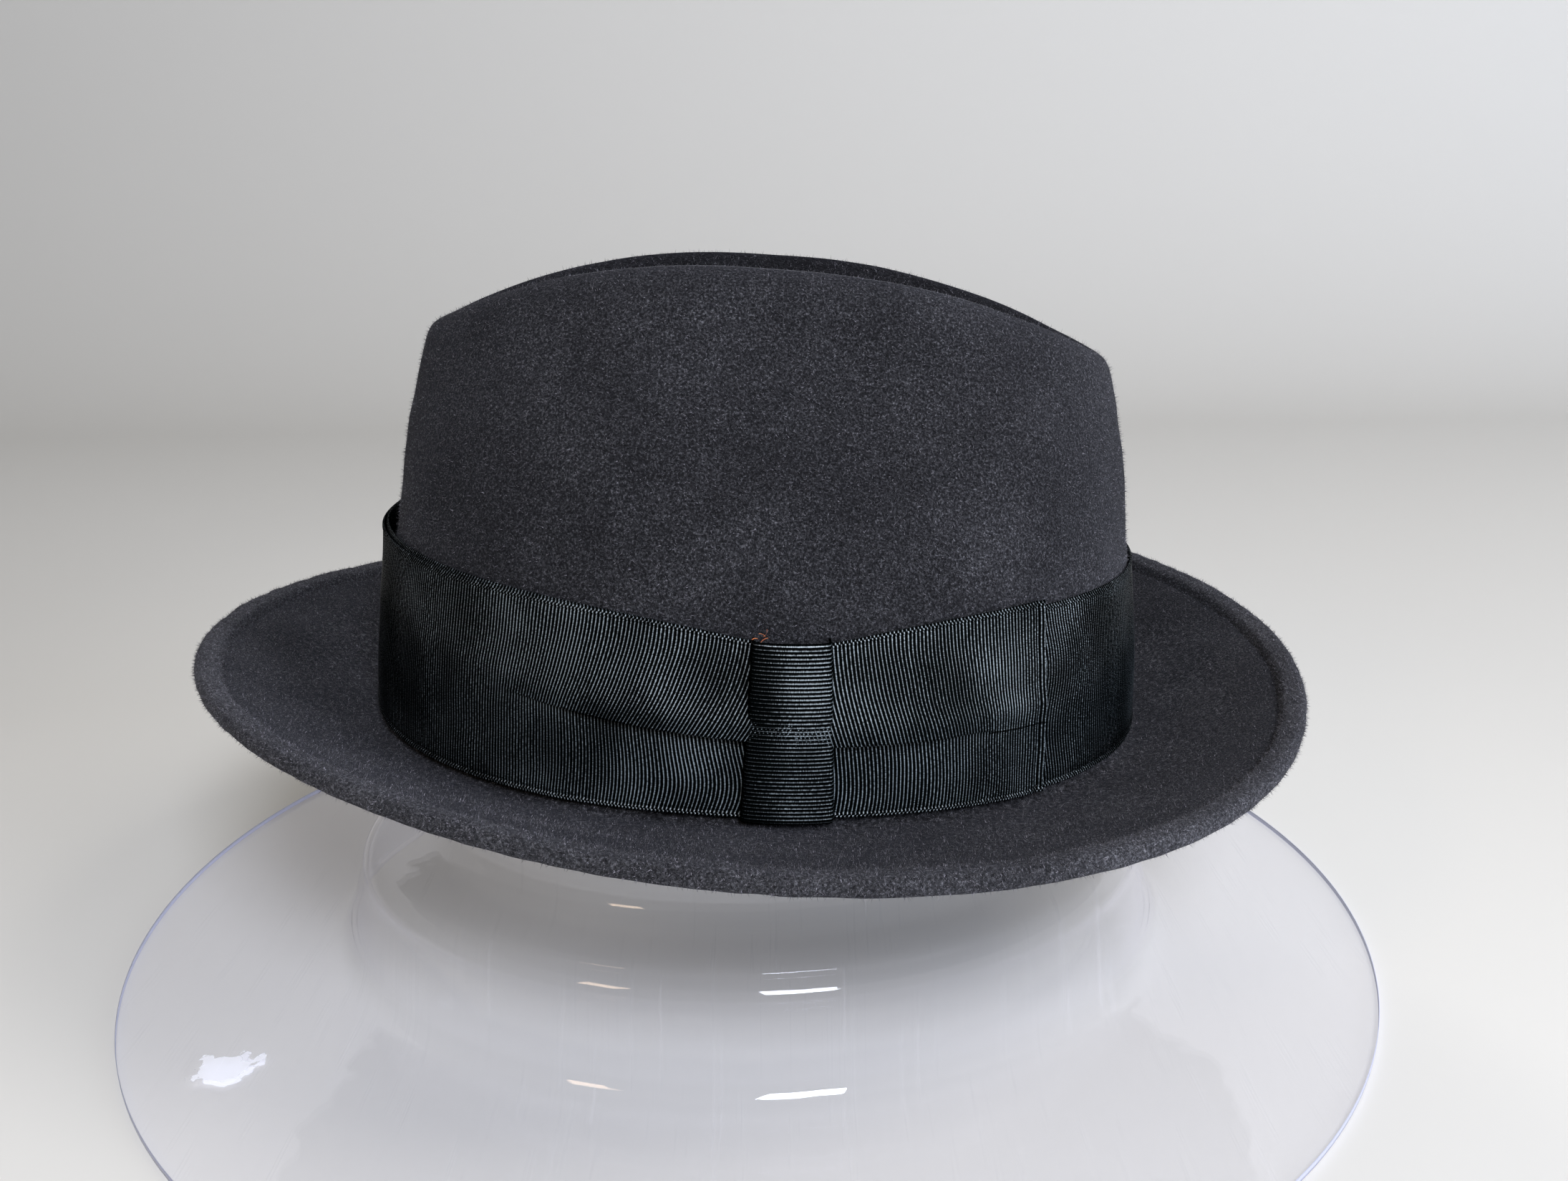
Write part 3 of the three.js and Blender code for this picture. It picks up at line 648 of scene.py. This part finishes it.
# Inside the pleat the ribbon is painted darker, down to full black: a painted shade.
pleat_painted_shade = add_node(
    grosgrain, "ShaderNodeMapRange", Value=in_cloth["Y"], From_Min=0.0, From_Max=-18 * MM, To_Max=-0.6
)
wear_and_painted_light = add_node(grosgrain, "ShaderNodeMath", {"operation": "ADD"}, i0=slant_sum, i1=pleat_painted_shade)
ribbon_sum = add_node(grosgrain, "ShaderNodeMath", {"operation": "ADD"}, i0=wear_and_painted_light, i1=dashes)
ribbon_colour = colour_ramp(
    grosgrain, ribbon_sum, [(0.36, "#020303"), (0.62, "#0f1214"), (0.84, "#33393d"), (0.98, "#848f95")]
)
warp_relief = add_node(grosgrain, "ShaderNodeBump", Height=warp_ends, Strength=0.5, Distance=0.08 * MM)
cord_shine = add_node(grosgrain, "ShaderNodeMapRange", Value=ribbon_sum, From_Min=0.5, From_Max=0.95)
ribbon_skin = add_node(
    grosgrain,
    "ShaderNodeBsdfPrincipled",
    Base_Color=ribbon_colour,
    Roughness=0.42,
    Specular_IOR_Level=cord_shine,
    Normal=warp_relief,
)
add_node(grosgrain, "ShaderNodeOutputMaterial", Surface=ribbon_skin)
hat_band.data.materials.append(grosgrain)
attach(hat_band, "root")
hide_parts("hat_band")


# The bow's two wings. The ribbon comes round the front as the long wing, and goes on past the knot
# as the short one, whose end is folded under and tacked. One pleat takes up their width at the
# knot and dies out away from it. The cords lean over where the pleat pulls at them.

WING_HEIGHT = 49.5
KNOT_TOP_WIDTH = 18.8
WING_OUT = 2 * TOUCH_GAP + 1.35
PLEAT_LAYER = 1.05
PLEAT_TUCK = 3.0
RIDGE_OVER_FOLD = 4
RIDGE_SPREAD = 3.2
RIBBON_WALL = 0.4
# The cloth's map marks what is inside the pleat by putting it this far below the lower edge, and the
# ribbon's material paints it dark there, a painted shade.
PLEAT_SHADE_DROP = 60

WINGS = [
    {
        "node": "bow_long_wing",
        "heading": -1,
        "length": 186,
        "fold_height": 20,
        "fold_rise": 4.5,
        "lean": 8.2,
        "lean_reach": 62,
        "lean_fade": 3,
        "sway": 2.4,
        "gap_reach": 52,
    },
    {
        "node": "bow_short_wing",
        "heading": 1,
        "length": 66,
        "fold_height": 19,
        "fold_rise": 0.5,
        "lean": 5.0,
        "lean_reach": 51,
        "lean_fade": 6,
        "sway": -0.9,
        "gap_reach": 36,
    },
]


def wing_rows(wing, along):
    """Cloth rows of a wing from its upper edge, down over the pleat, to its lower edge.

    Each is its height, how far it lies out, how far its cords lean away, how proud it is, the
    half-cord step of its beads, the sign of the edge that it forms, and whether it is inside
    the pleat.
    """
    open_share = np.exp(-((np.maximum(along, 0) / wing["gap_reach"]) ** 4))
    tuck = PLEAT_TUCK * open_share
    fold = wing["fold_height"] + wing["fold_rise"] * np.clip(along / 60, 0, 1.3)
    top = WING_HEIGHT + (PLEATED_HEIGHT - WING_HEIGHT) * pleating(along)
    lean = wing["lean"] * np.exp(-((np.maximum(along, 0) / wing["lean_reach"]) ** wing["lean_fade"]))
    ridge = 0.7 * np.exp(-((along / 90) ** 2))
    rows = []

    def upper_row(height, proud, step, edge):
        q = (height - fold) / (top - fold)
        bulge = ridge * np.exp(-(((height - fold - RIDGE_OVER_FOLD) / RIDGE_SPREAD) ** 2))
        out = 2 * PLEAT_LAYER * open_share * np.exp(-((q / 0.55) ** 2)) + bulge
        rows.append((height, out, lean * np.maximum(0, 1 - q) ** 1.7, proud, step, edge, 0))

    for inset, proud, step in zip(edge_insets, edge_prouds, edge_steps):
        upper_row(top - inset, proud, step, 1 if inset == 0 else 0)
    for q in np.concatenate([np.linspace(0.92, 0.06, 17), [0.03, 0.012, 0]]):
        upper_row(fold + (top - fold) * q, 0, 0, 0)
    lip = 2 * PLEAT_LAYER * open_share
    rest = ridge * np.exp(-((RIDGE_OVER_FOLD / RIDGE_SPREAD) ** 2))
    shut = 0.2 * (1 - open_share)
    # The hidden rows inside the pleat are marked for painted shade.
    rows.append((fold - 0.3 * open_share - shut, 0.8 * lip + rest, lean, 0, 0, 0, 0.5 * open_share))
    for step, up, layer in ((2, 0.3, 0.3), (3, 1.0, 0.1), (4, 0.9, -0.1), (5, 0.2, -0.35)):
        height = fold + tuck * up - step * shut
        rows.append((height, lip * layer + rest, lean, 0, 0, 0, open_share))

    def lower_row(height, proud, step, edge, inside=0):
        q = height / fold
        sunk = (rest - 0.7 * open_share) * np.exp(-(((1 - q) / 0.16) ** 2))
        bend = wing["sway"] * np.exp(-((np.maximum(along, 0) / 42) ** 2))
        bend = bend * (np.sin(math.pi * np.clip(1 - q, 0, 1) ** 1.4) + 0.25 * (1 - q) ** 3)
        rows.append((height, sunk, lean - bend, proud, step, edge, inside))

    # The first row below the fold is marked for painted shade as well.
    lower_row(fold * 0.955, 0, 0, 0, 0.8 * open_share)
    for q in np.concatenate([[0.93, 0.9], np.linspace(0.86, 0.1, 11)]):
        lower_row(fold * q, 0, 0, 0)
    for inset, proud, step in zip(edge_insets[::-1], edge_prouds[::-1], edge_steps[::-1]):
        lower_row(inset + 0 * fold, proud, step, -1 if inset == 0 else 0)
    return rows


def bow_wing(wing):
    """A wing's strip of ribbon, whose columns follow the cords."""
    start = KNOT_TOP_WIDTH / 6 - 9
    ribs = int((wing["length"] - start) / RIB_PITCH)
    phase = np.arange(ribs * STEPS_PER_RIB + 1) / STEPS_PER_RIB
    along = start + phase * RIB_PITCH
    points, cloth_up, cloth_along = [], [], []
    for height, out, lean, proud, step, edge, inside in wing_rows(wing, along):
        relief = rib_profile(phase + step)
        to_end = wing["length"] - along
        distance = np.maximum(along + lean * np.clip(to_end / 12, 0, 1), 0.5)
        uneven = np.stack([distance, height + 0 * distance, 0 * distance], axis=-1)
        distance = distance + swell(uneven, 14, 0.1, 31) * np.clip(distance / 20, 0, 1)
        angle = angle_at(wing["heading"] * distance)
        height = height + edge * EDGE_BEAD * (relief - 0.5)
        out = WING_OUT + out + proud + RIB_DEPTH * relief
        out = out + swell(uneven, 26, 0.13, 21) + silhouette_curl(angle, height)
        if wing["node"] == "bow_short_wing":
            # The folded end is a soft double edge, a little proud, with a dip beside it.
            out = out + 0.45 * np.exp(-((to_end / 1.8) ** 2)) - 0.3 * np.exp(-(((to_end - 3.0) / 0.7) ** 2))
        points.append(beside_wall(angle, height, out))
        # Rows inside the pleat go far below the lower edge in the cloth's map, which marks them for painted
        # shade.
        cloth_up.append(height - PLEAT_SHADE_DROP * inside + 0 * along)
        cloth_along.append((phase + step) * RIB_PITCH)
    points = np.stack(points)
    cloth_up, cloth_along = np.stack(cloth_up), np.stack(cloth_along)
    if wing["heading"] < 0:
        points, cloth_up, cloth_along = points[:, ::-1], cloth_up[:, ::-1], cloth_along[:, ::-1]
    name = wing["node"] + "_ribbon"
    piece = close_seams(grid_piece(name, points, hat_on_stand, False, (cloth_along, cloth_up)), 0.002)
    wall = piece.modifiers.new("ribbon thickness", "SOLIDIFY")
    wall.thickness = RIBBON_WALL * MM
    wall.offset = -1
    piece.data.materials.append(grosgrain)
    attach(piece, "root")
    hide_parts(wing["node"])


for wing in WINGS:
    bow_wing(wing)


# The knot. A short piece of the same ribbon, its cords lying level, wrapped round the bow's middle
# and turned under below the band.

KNOT_BOTTOM_WIDTH = 22
KNOT_OVERHANG = 1.2
KNOT_COLUMNS = 48
KNOT_STEPS_PER_RIB = 6
KNOT_SHIFT = -1.0
KNOT_HEIGHT = 43.8
KNOT_OUT = 4.7
KNOT_WALL = 0.5

knot_ribs = int((KNOT_HEIGHT + KNOT_OVERHANG) / RIB_PITCH)
knot_rows = knot_ribs * KNOT_STEPS_PER_RIB + 1
knot_phase = (np.arange(knot_rows) / KNOT_STEPS_PER_RIB)[:, None]
knot_height = np.linspace(KNOT_HEIGHT, -KNOT_OVERHANG, knot_rows)[:, None]
knot_across = np.clip(np.linspace(-0.525, 0.525, KNOT_COLUMNS + 1), -0.5, 0.5)[None, :]
knot_rise = knot_height / KNOT_HEIGHT
knot_width = KNOT_BOTTOM_WIDTH + (KNOT_TOP_WIDTH - KNOT_BOTTOM_WIDTH) * knot_rise
knot_bow = 0.7 * (1 - (2 * knot_across) ** 2)
side_drop = np.concatenate([[2.6, 1.2, 0.25], 0 * knot_across[0, 3:-3], [0.25, 1.2, 2.6]])
knot_out = KNOT_OUT - side_drop - 0.5 * np.abs(2 * knot_across) ** 6
knot_out = knot_out + RIB_DEPTH * rib_profile(knot_phase) - 0.55 * np.maximum(0, 0.9 - knot_height) ** 2
knot_out = knot_out - 0.5 * np.maximum(0, knot_height - KNOT_HEIGHT + 1.0) ** 2
knot_angle_at = angle_at(knot_across * knot_width + KNOT_SHIFT)
knot_z = knot_height - knot_bow * 0.4
knot_points = beside_wall(knot_angle_at, knot_z + 0 * knot_across, knot_out)
tuck_rows = []
for depth, drop in [(0.9, -0.3), (2.0, -0.3), (2.8, 0.3), (3.0, 1.5)]:
    tuck_rows.append(
        beside_wall(knot_angle_at[-1:], knot_z[-1:] + drop, knot_out[-1:] - depth + 0 * knot_across)
    )
knot_points = np.concatenate([knot_points, *tuck_rows], axis=0)
tuck_phase = knot_phase[-1:] + [[0.5], [1.5], [2.5], [4.0]]
knot_along = np.concatenate([knot_phase, tuck_phase]) * RIB_PITCH + 0 * knot_across
# The map's second value falls below 0 on the knot's half towards the long wing, which the ribbon's material
# paints darker there, a painted shade.
knot_up = 20 * knot_across + 0 * knot_along
bow_knot = close_seams(
    grid_piece("bow_knot_ribbon", knot_points, hat_on_stand, False, (knot_along, knot_up)), 0.002
)
knot_wall = bow_knot.modifiers.new("ribbon thickness", "SOLIDIFY")
knot_wall.thickness = KNOT_WALL * MM
knot_wall.offset = -1
bow_knot.data.materials.append(grosgrain)
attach(bow_knot, "root")
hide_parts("bow_knot")


# Loose ends. A wisp of orange-brown fibre is caught at the knot's upper corner, and short ends of
# the black sewing thread stand out below the ribbon, where it was tacked to the felt.

# Each end's distance from the knot, height, distance out, length, turn and colour.
LOOSE_ENDS = [
    (-8.0, 44.6, 3.4, 2.6, 0.4, "#a05a32"),
    (-7.2, 44.4, 3.0, 2.2, 1.9, "#b06a40"),
    (-6.2, 44.5, 3.6, 3.0, 3.0, "#8a4a2a"),
    (-8.8, 44.0, 3.2, 1.8, 2.4, "#a05a32"),
    (38.0, -0.6, 3.0, 3.2, -1.3, "#16171a"),
    (39.5, -0.2, 3.2, 2.4, -2.2, "#1d1f23"),
    (72.0, 0.2, 1.6, 4.2, 0.5, "#16171a"),
    (78.0, -0.3, 1.8, 2.6, -0.6, "#1d1f23"),
    (61.5, 2.4, 3.0, 1.3, -0.2, "#121316"),
    (-34.0, -0.5, 2.8, 2.0, 3.6, "#1d1f23"),
]
THREAD_RADIUS = 0.11


def spun_thread(colour):
    """Spun thread or fibre, dull, in its own dye."""
    thread = new_material("spun thread " + colour)
    skin = add_node(thread, "ShaderNodeBsdfPrincipled", Base_Color=linear(colour), Roughness=0.7)
    add_node(thread, "ShaderNodeOutputMaterial", Surface=skin)
    return thread


def loose_end(number, at, height, out, length, turn, colour):
    """One short curled end, as a thin tube whose two ends come to a point."""
    steps = np.linspace(0, 1, 12)
    bend = turn + 1.4 * steps
    run = length / 12 * np.cumsum(np.cos(bend))
    rise = length / 12 * np.cumsum(np.sin(bend))
    rows = []
    for step, aside, up in zip(steps, run, rise):
        across = angle_at(at + aside)
        centre = beside_wall(across, height + up, out + 0.6 * step)
        thick = THREAD_RADIUS * math.sqrt(max(0.0, 1 - (2 * step - 1) ** 6))
        turns = np.linspace(0, 2 * math.pi, 6, endpoint=False)
        level = np.array([math.cos(across), math.sin(across), 0.0])
        tilted = np.array([-level[1] * math.sin(bend[0]), level[0] * math.sin(bend[0]), math.cos(bend[0])])
        rows.append([centre + thick * (math.cos(t) * level + math.sin(t) * tilted) for t in turns])
    piece = close_seams(grid_piece(f"loose_end_{number}", np.array(rows), hat_on_stand, True), 0.0005)
    piece.data.materials.append(spun_thread(colour))
    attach(piece, "root")


for number, end in enumerate(LOOSE_ENDS):
    loose_end(number, *end)


# The display stand. One clear sheet, drawn warm over a mould: a round flange, an oval step with
# soft corners, and a neck that goes up inside the crown. It is open underneath.

FLANGE_RADIUS = 180
STEP_HALF_LENGTH = 120
STEP_HALF_WIDTH = 104
STEP_HEIGHT = 30
STEP_TAPER = 4
CORNER_RADIUS = 7
NECK_HALF_LENGTH = 90
NECK_HALF_WIDTH = 70
NECK_BEND_HEIGHT = 62
NECK_TAPER = 5
DOME_HALF_LENGTH = 58
DOME_HALF_WIDTH = 30
DOME_HEIGHT = 14
SHEET_THICKNESS = 1.5
STAND_COLUMNS = 240
CUT_EDGE_RADIUS = FLANGE_RADIUS - 0.15
WORN_PLACE = (-0.130, -0.088, 0.0015)

dome_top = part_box("display_stand")[1].z / MM
stand_angles = np.linspace(0, 2 * math.pi, STAND_COLUMNS, endpoint=False)


def stand_ring(half_length, half_width, height):
    """A level oval ring of the stand's upper face."""
    x, y = oval(stand_angles, half_length, half_width)
    return np.stack([x, y, height + 0 * x], axis=-1)


def between(inner, outer, share):
    """A ring a share of the way from one half length, half width and height to the next."""
    return stand_ring(*(start + (end - start) * share for start, end in zip(inner, outer)))


def corner(half_length, half_width, height, start, end):
    """Rings round a soft corner, whose centre lies at the given half sizes and height."""
    rings = []
    for turned_by in np.radians(np.linspace(start, end, 7)):
        out = CORNER_RADIUS * math.cos(turned_by)
        up = CORNER_RADIUS * math.sin(turned_by)
        rings.append(stand_ring(half_length + out, half_width + out, height + up))
    return rings


soft = CORNER_RADIUS
inset = STEP_TAPER + soft
dome_rim = (DOME_HALF_LENGTH, DOME_HALF_WIDTH, dome_top - DOME_HEIGHT)
neck_bend = (NECK_HALF_LENGTH - NECK_TAPER, NECK_HALF_WIDTH - NECK_TAPER, NECK_BEND_HEIGHT)
neck_foot = (NECK_HALF_LENGTH, NECK_HALF_WIDTH, STEP_HEIGHT + soft)
step_foot = (STEP_HALF_LENGTH + soft, STEP_HALF_WIDTH + soft, SHEET_THICKNESS)
flange_edge = (FLANGE_RADIUS, FLANGE_RADIUS, SHEET_THICKNESS)
stand_rings = []
for share in (0, 0.15, 0.3, 0.45, 0.6, 0.72, 0.82, 0.9, 0.95, 0.98, 1):
    dome_drop = DOME_HEIGHT * (1 - math.sqrt(1 - share**2))
    stand_rings.append(stand_ring(DOME_HALF_LENGTH * share, DOME_HALF_WIDTH * share, dome_top - dome_drop))
stand_rings += [between(dome_rim, neck_bend, share) for share in (0.12, 0.3, 0.5, 0.7, 0.9)]
stand_rings += [between(neck_bend, neck_foot, share) for share in (0.12, 0.5, 0.92)]
stand_rings += corner(NECK_HALF_LENGTH + soft, NECK_HALF_WIDTH + soft, STEP_HEIGHT + soft, 180, 270)
stand_rings += corner(STEP_HALF_LENGTH - inset, STEP_HALF_WIDTH - inset, STEP_HEIGHT - soft, 90, 0)
stand_rings += corner(step_foot[0], step_foot[1], SHEET_THICKNESS + soft, 180, 270)
stand_rings += [between(step_foot, flange_edge, share) for share in (0.06, 0.2, 0.5, 0.8, 0.97, 1.0)]
upper_sheet = through_rings(stand_rings, np.linspace(0, 1, 2 * len(stand_rings)))
lower_sheet = upper_sheet - normals_of(upper_sheet) * SHEET_THICKNESS
lower_sheet[0] = upper_sheet[0] - [0, 0, SHEET_THICKNESS]
lower_sheet[..., 2] = np.maximum(lower_sheet[..., 2], 0)
stand_points = np.concatenate([upper_sheet, lower_sheet[::-1]], axis=0)
display_stand = close_seams(
    grid_piece("display_stand_sheet", stand_points, Matrix.Identity(4), True)
)

# Clear butyrate sheet, vacuum formed: it shows the cloth behind it, with a faint violet cast, and
# mirrors the lamps along its soft corners. Handling has left a slight haze on it.
clear_sheet = new_material("clear butyrate sheet, vacuum formed")
sheet_place = add_node(clear_sheet, "ShaderNodeTexCoord").outputs["Object"]
ripple = add_node(clear_sheet, "ShaderNodeTexNoise", Vector=sheet_place, Scale=1 / (24 * MM), Detail=2.0)
ripple_relief = add_node(clear_sheet, "ShaderNodeBump", Height=ripple, Strength=0.3, Distance=1.5 * MM)
see_through = add_node(clear_sheet, "ShaderNodeBsdfTransparent", Color=linear("#fefeff"))
gloss = add_node(
    clear_sheet,
    "ShaderNodeBsdfPrincipled",
    Base_Color=linear("#f4f3f8"),
    Metallic=1.0,
    Roughness=0.035,
    Normal=ripple_relief,
)
# The clear sheet mirrors about 3% of what it faces, and far more at a glancing angle.
glancing = add_node(clear_sheet, "ShaderNodeLayerWeight", Blend=0.5, Normal=ripple_relief).outputs["Facing"]
steepness = add_node(clear_sheet, "ShaderNodeMath", {"operation": "POWER"}, i0=glancing, i1=5.0)
mirror_share = add_node(
    clear_sheet, "ShaderNodeMath", {"operation": "MULTIPLY_ADD"}, i0=steepness, i1=0.96, i2=0.032
)
sheet_mix = add_node(clear_sheet, "ShaderNodeMixShader", i0=mirror_share, i1=see_through, i2=gloss)
haze_coat = add_node(clear_sheet, "ShaderNodeBsdfPrincipled", Base_Color=linear("#f3f3f8"), Roughness=0.6)
# One patch near the flange's front left is worn white, and chips of it have come away.
worn_at = add_node(
    clear_sheet, "ShaderNodeVectorMath", {"operation": "DISTANCE"}, i0=sheet_place, i1=WORN_PLACE
).outputs["Value"]
worn_shape = add_node(clear_sheet, "ShaderNodeTexNoise", Vector=sheet_place, Scale=1 / (7 * MM), Detail=3.0)
worn_rim = add_node(
    clear_sheet, "ShaderNodeMath", {"operation": "MULTIPLY_ADD"}, i0=worn_shape, i1=-22 * MM, i2=worn_at
)
worn = add_node(
    clear_sheet, "ShaderNodeMapRange", Value=worn_rim, From_Min=-4.2 * MM, From_Max=-4.8 * MM
)
scratch_map = add_node(
    clear_sheet,
    "ShaderNodeMapping",
    Vector=sheet_place,
    Rotation=(0, 0, 0.6),
    Scale=(1 / (0.9 * MM), 1 / (40 * MM), 1),
)
scratch = add_node(clear_sheet, "ShaderNodeTexNoise", Vector=scratch_map, Scale=1.0, Detail=2.0)
scratched = add_node(
    clear_sheet, "ShaderNodeMapRange", Value=scratch, From_Min=0.6, From_Max=0.8, To_Max=0.05
)
haze_share = add_node(
    clear_sheet, "ShaderNodeMath", {"operation": "MULTIPLY_ADD"}, i0=worn, i1=0.8, i2=scratched
)
haze_total = add_node(clear_sheet, "ShaderNodeMath", {"operation": "ADD"}, i0=haze_share, i1=0.02)
hazed = add_node(clear_sheet, "ShaderNodeMixShader", i0=haze_total, i1=sheet_mix, i2=haze_coat)
# The cut edge of the flange gathers the sheet's own colour, a dull violet grey.
from_middle = add_node(
    clear_sheet, "ShaderNodeVectorMath", {"operation": "LENGTH"}, i0=sheet_place
).outputs["Value"]
cut_edge = add_node(
    clear_sheet, "ShaderNodeMath", {"operation": "GREATER_THAN"}, i0=from_middle, i1=CUT_EDGE_RADIUS * MM
)
edge_colour = add_node(clear_sheet, "ShaderNodeBsdfPrincipled", Base_Color=linear("#a2a4b6"), Roughness=0.3)
edged = add_node(clear_sheet, "ShaderNodeMixShader", i0=cut_edge, i1=hazed, i2=edge_colour)
# A lamp's light goes through the thin clear sheet to the cloth below almost unweakened.
lamp_ray = add_node(clear_sheet, "ShaderNodeLightPath").outputs["Is Shadow Ray"]
lamp_share = add_node(clear_sheet, "ShaderNodeMath", {"operation": "MULTIPLY"}, i0=lamp_ray, i1=0.7)
sheet_seen = add_node(clear_sheet, "ShaderNodeMixShader", i0=lamp_share, i1=edged, i2=see_through)
add_node(clear_sheet, "ShaderNodeOutputMaterial", Surface=sheet_seen)
display_stand.data.materials.append(clear_sheet)
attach(display_stand, "root")
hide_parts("display_stand")


# The floor and its backdrop: one pale sheet that curves up behind, plain and matt.

FLOOR_WIDTH = 16000
FLOOR_NEAR_END = -9000
BACKDROP_HEIGHT = 3500
SWEEP_START = 900
SWEEP_RADIUS = 700
FLOOR_DROP = 0.2
sweep_rows = [(FLOOR_NEAR_END, 0), (SWEEP_START, 0)]
sweep_rows += [
    (SWEEP_START + SWEEP_RADIUS * math.sin(t), SWEEP_RADIUS * (1 - math.cos(t)))
    for t in np.radians(np.linspace(6, 90, 15))
]
sweep_rows += [(SWEEP_START + SWEEP_RADIUS, BACKDROP_HEIGHT)]
floor_sides = (FLOOR_WIDTH / 2, -FLOOR_WIDTH / 2)
sweep_points = np.array([[[x, y, z - FLOOR_DROP] for x in floor_sides] for y, z in sweep_rows], float)
floor = close_seams(grid_piece("floor", sweep_points, Matrix.Identity(4), False))
cotton = new_material("white cotton, matt")
cotton_skin = add_node(
    cotton, "ShaderNodeBsdfPrincipled", Base_Color=linear("#d0cec9"), Roughness=0.9, Specular_IOR_Level=0.1
)
add_node(cotton, "ShaderNodeOutputMaterial", Surface=cotton_skin)
floor.data.materials.append(cotton)


# The camera stands where the photograph was taken from. The lamps are soft: a small warm one on the
# left and a cool one on the right, above and in front, a big cool cloth far off on the right, one
# overhead, and a spot from behind for the side away from the camera.

CAMERA_PLACE = (10.98, -381.96, 207.72)
CAMERA_PITCH = 16.01
CAMERA_ROLL = -0.71
FOCAL_PIXELS = 1900
PHOTO_WIDTH = 2190

pitch, roll = math.radians(CAMERA_PITCH), math.radians(CAMERA_ROLL)
ahead = Vector((0, math.cos(pitch), -math.sin(pitch)))
level_right = Vector((1, 0, 0))
level_up = level_right.cross(ahead)
right = level_right * math.cos(roll) + level_up * math.sin(roll)
up = level_up * math.cos(roll) - level_right * math.sin(roll)
camera = bpy.data.objects.new("camera", bpy.data.cameras.new("camera"))
camera.data.sensor_width = 36
camera.data.lens = 36 * FOCAL_PIXELS / PHOTO_WIDTH
camera.data.clip_start = 0.01
camera.data.clip_end = 50
axes = Matrix((right, up, -ahead)).transposed().to_4x4()
camera.matrix_world = Matrix.Translation(Vector(CAMERA_PLACE) * MM) @ axes
bpy.context.scene.collection.objects.link(camera)
bpy.context.scene.camera = camera


def aimed_lamp(name, kind, place, aim, watts, colour):
    """A lamp at a place in millimetres, turned to its aim."""
    data = bpy.data.lights.new(name, kind)
    data.energy = watts
    data.color = linear(colour)[:3]
    lamp = bpy.data.objects.new(name, data)
    lamp.location = Vector(place) * MM
    lamp.rotation_mode = "QUATERNION"
    lamp.rotation_quaternion = (Vector(aim) * MM - lamp.location).to_track_quat("-Z", "Y")
    bpy.context.scene.collection.objects.link(lamp)
    return lamp


def soft_lamp(name, place, aim, width, height, watts, colour):
    """A rectangular soft lamp, in millimetres."""
    lamp = aimed_lamp(name, "AREA", place, aim, watts, colour)
    lamp.data.shape = "RECTANGLE"
    lamp.data.size = width * MM
    lamp.data.size_y = height * MM
    return lamp


soft_lamp("lamp_left", (-780, -960, 850), (0, 0, 60), 260, 260, 1.65, "#ffe2bf")
soft_lamp("lamp_right", (230, -980, 890), (0, 0, 60), 390, 390, 14.4, "#ecf2ff")
cloth_right = soft_lamp("cloth_right", (3000, -1350, 620), (0, 0, 110), 2200, 1300, 144, "#e6eeff")
lamp_over = soft_lamp("lamp_over", (1050, -350, 1350), (0, 0, 100), 600, 600, 8.5, "#fdf9f4")
lamp_behind = aimed_lamp("lamp_behind", "SPOT", (-350, 1350, 760), (0, 0, 100), 34, "#f6f4f0")
lamp_behind.data.spot_size = math.radians(24)
lamp_behind.data.spot_blend = 0.8
lamp_behind.data.shadow_soft_size = 200 * MM
lamp_behind.visible_camera = False
for unmirrored in (cloth_right, lamp_over, lamp_behind):
    unmirrored.visible_glossy = False

# The room is a tent of white cloth, brighter on the right than on the left.
surroundings = bpy.data.worlds.new("white cloth tent")
surroundings.use_nodes = True
surroundings.node_tree.nodes.clear()
tent_place = add_node(surroundings, "ShaderNodeTexCoord").outputs["Generated"]
tent_side = add_node(surroundings, "ShaderNodeSeparateXYZ", Vector=tent_place).outputs["X"]
tent_light = add_node(
    surroundings, "ShaderNodeMapRange", Value=tent_side, From_Min=-1.0, To_Min=0.15, To_Max=0.44
)
tent_cloth = add_node(surroundings, "ShaderNodeBackground", Color=linear("#f4f1ec"), Strength=tent_light)
add_node(surroundings, "ShaderNodeOutputWorld", Surface=tent_cloth)
bpy.context.scene.world = surroundings
bpy.context.scene.view_settings.view_transform = "Standard"
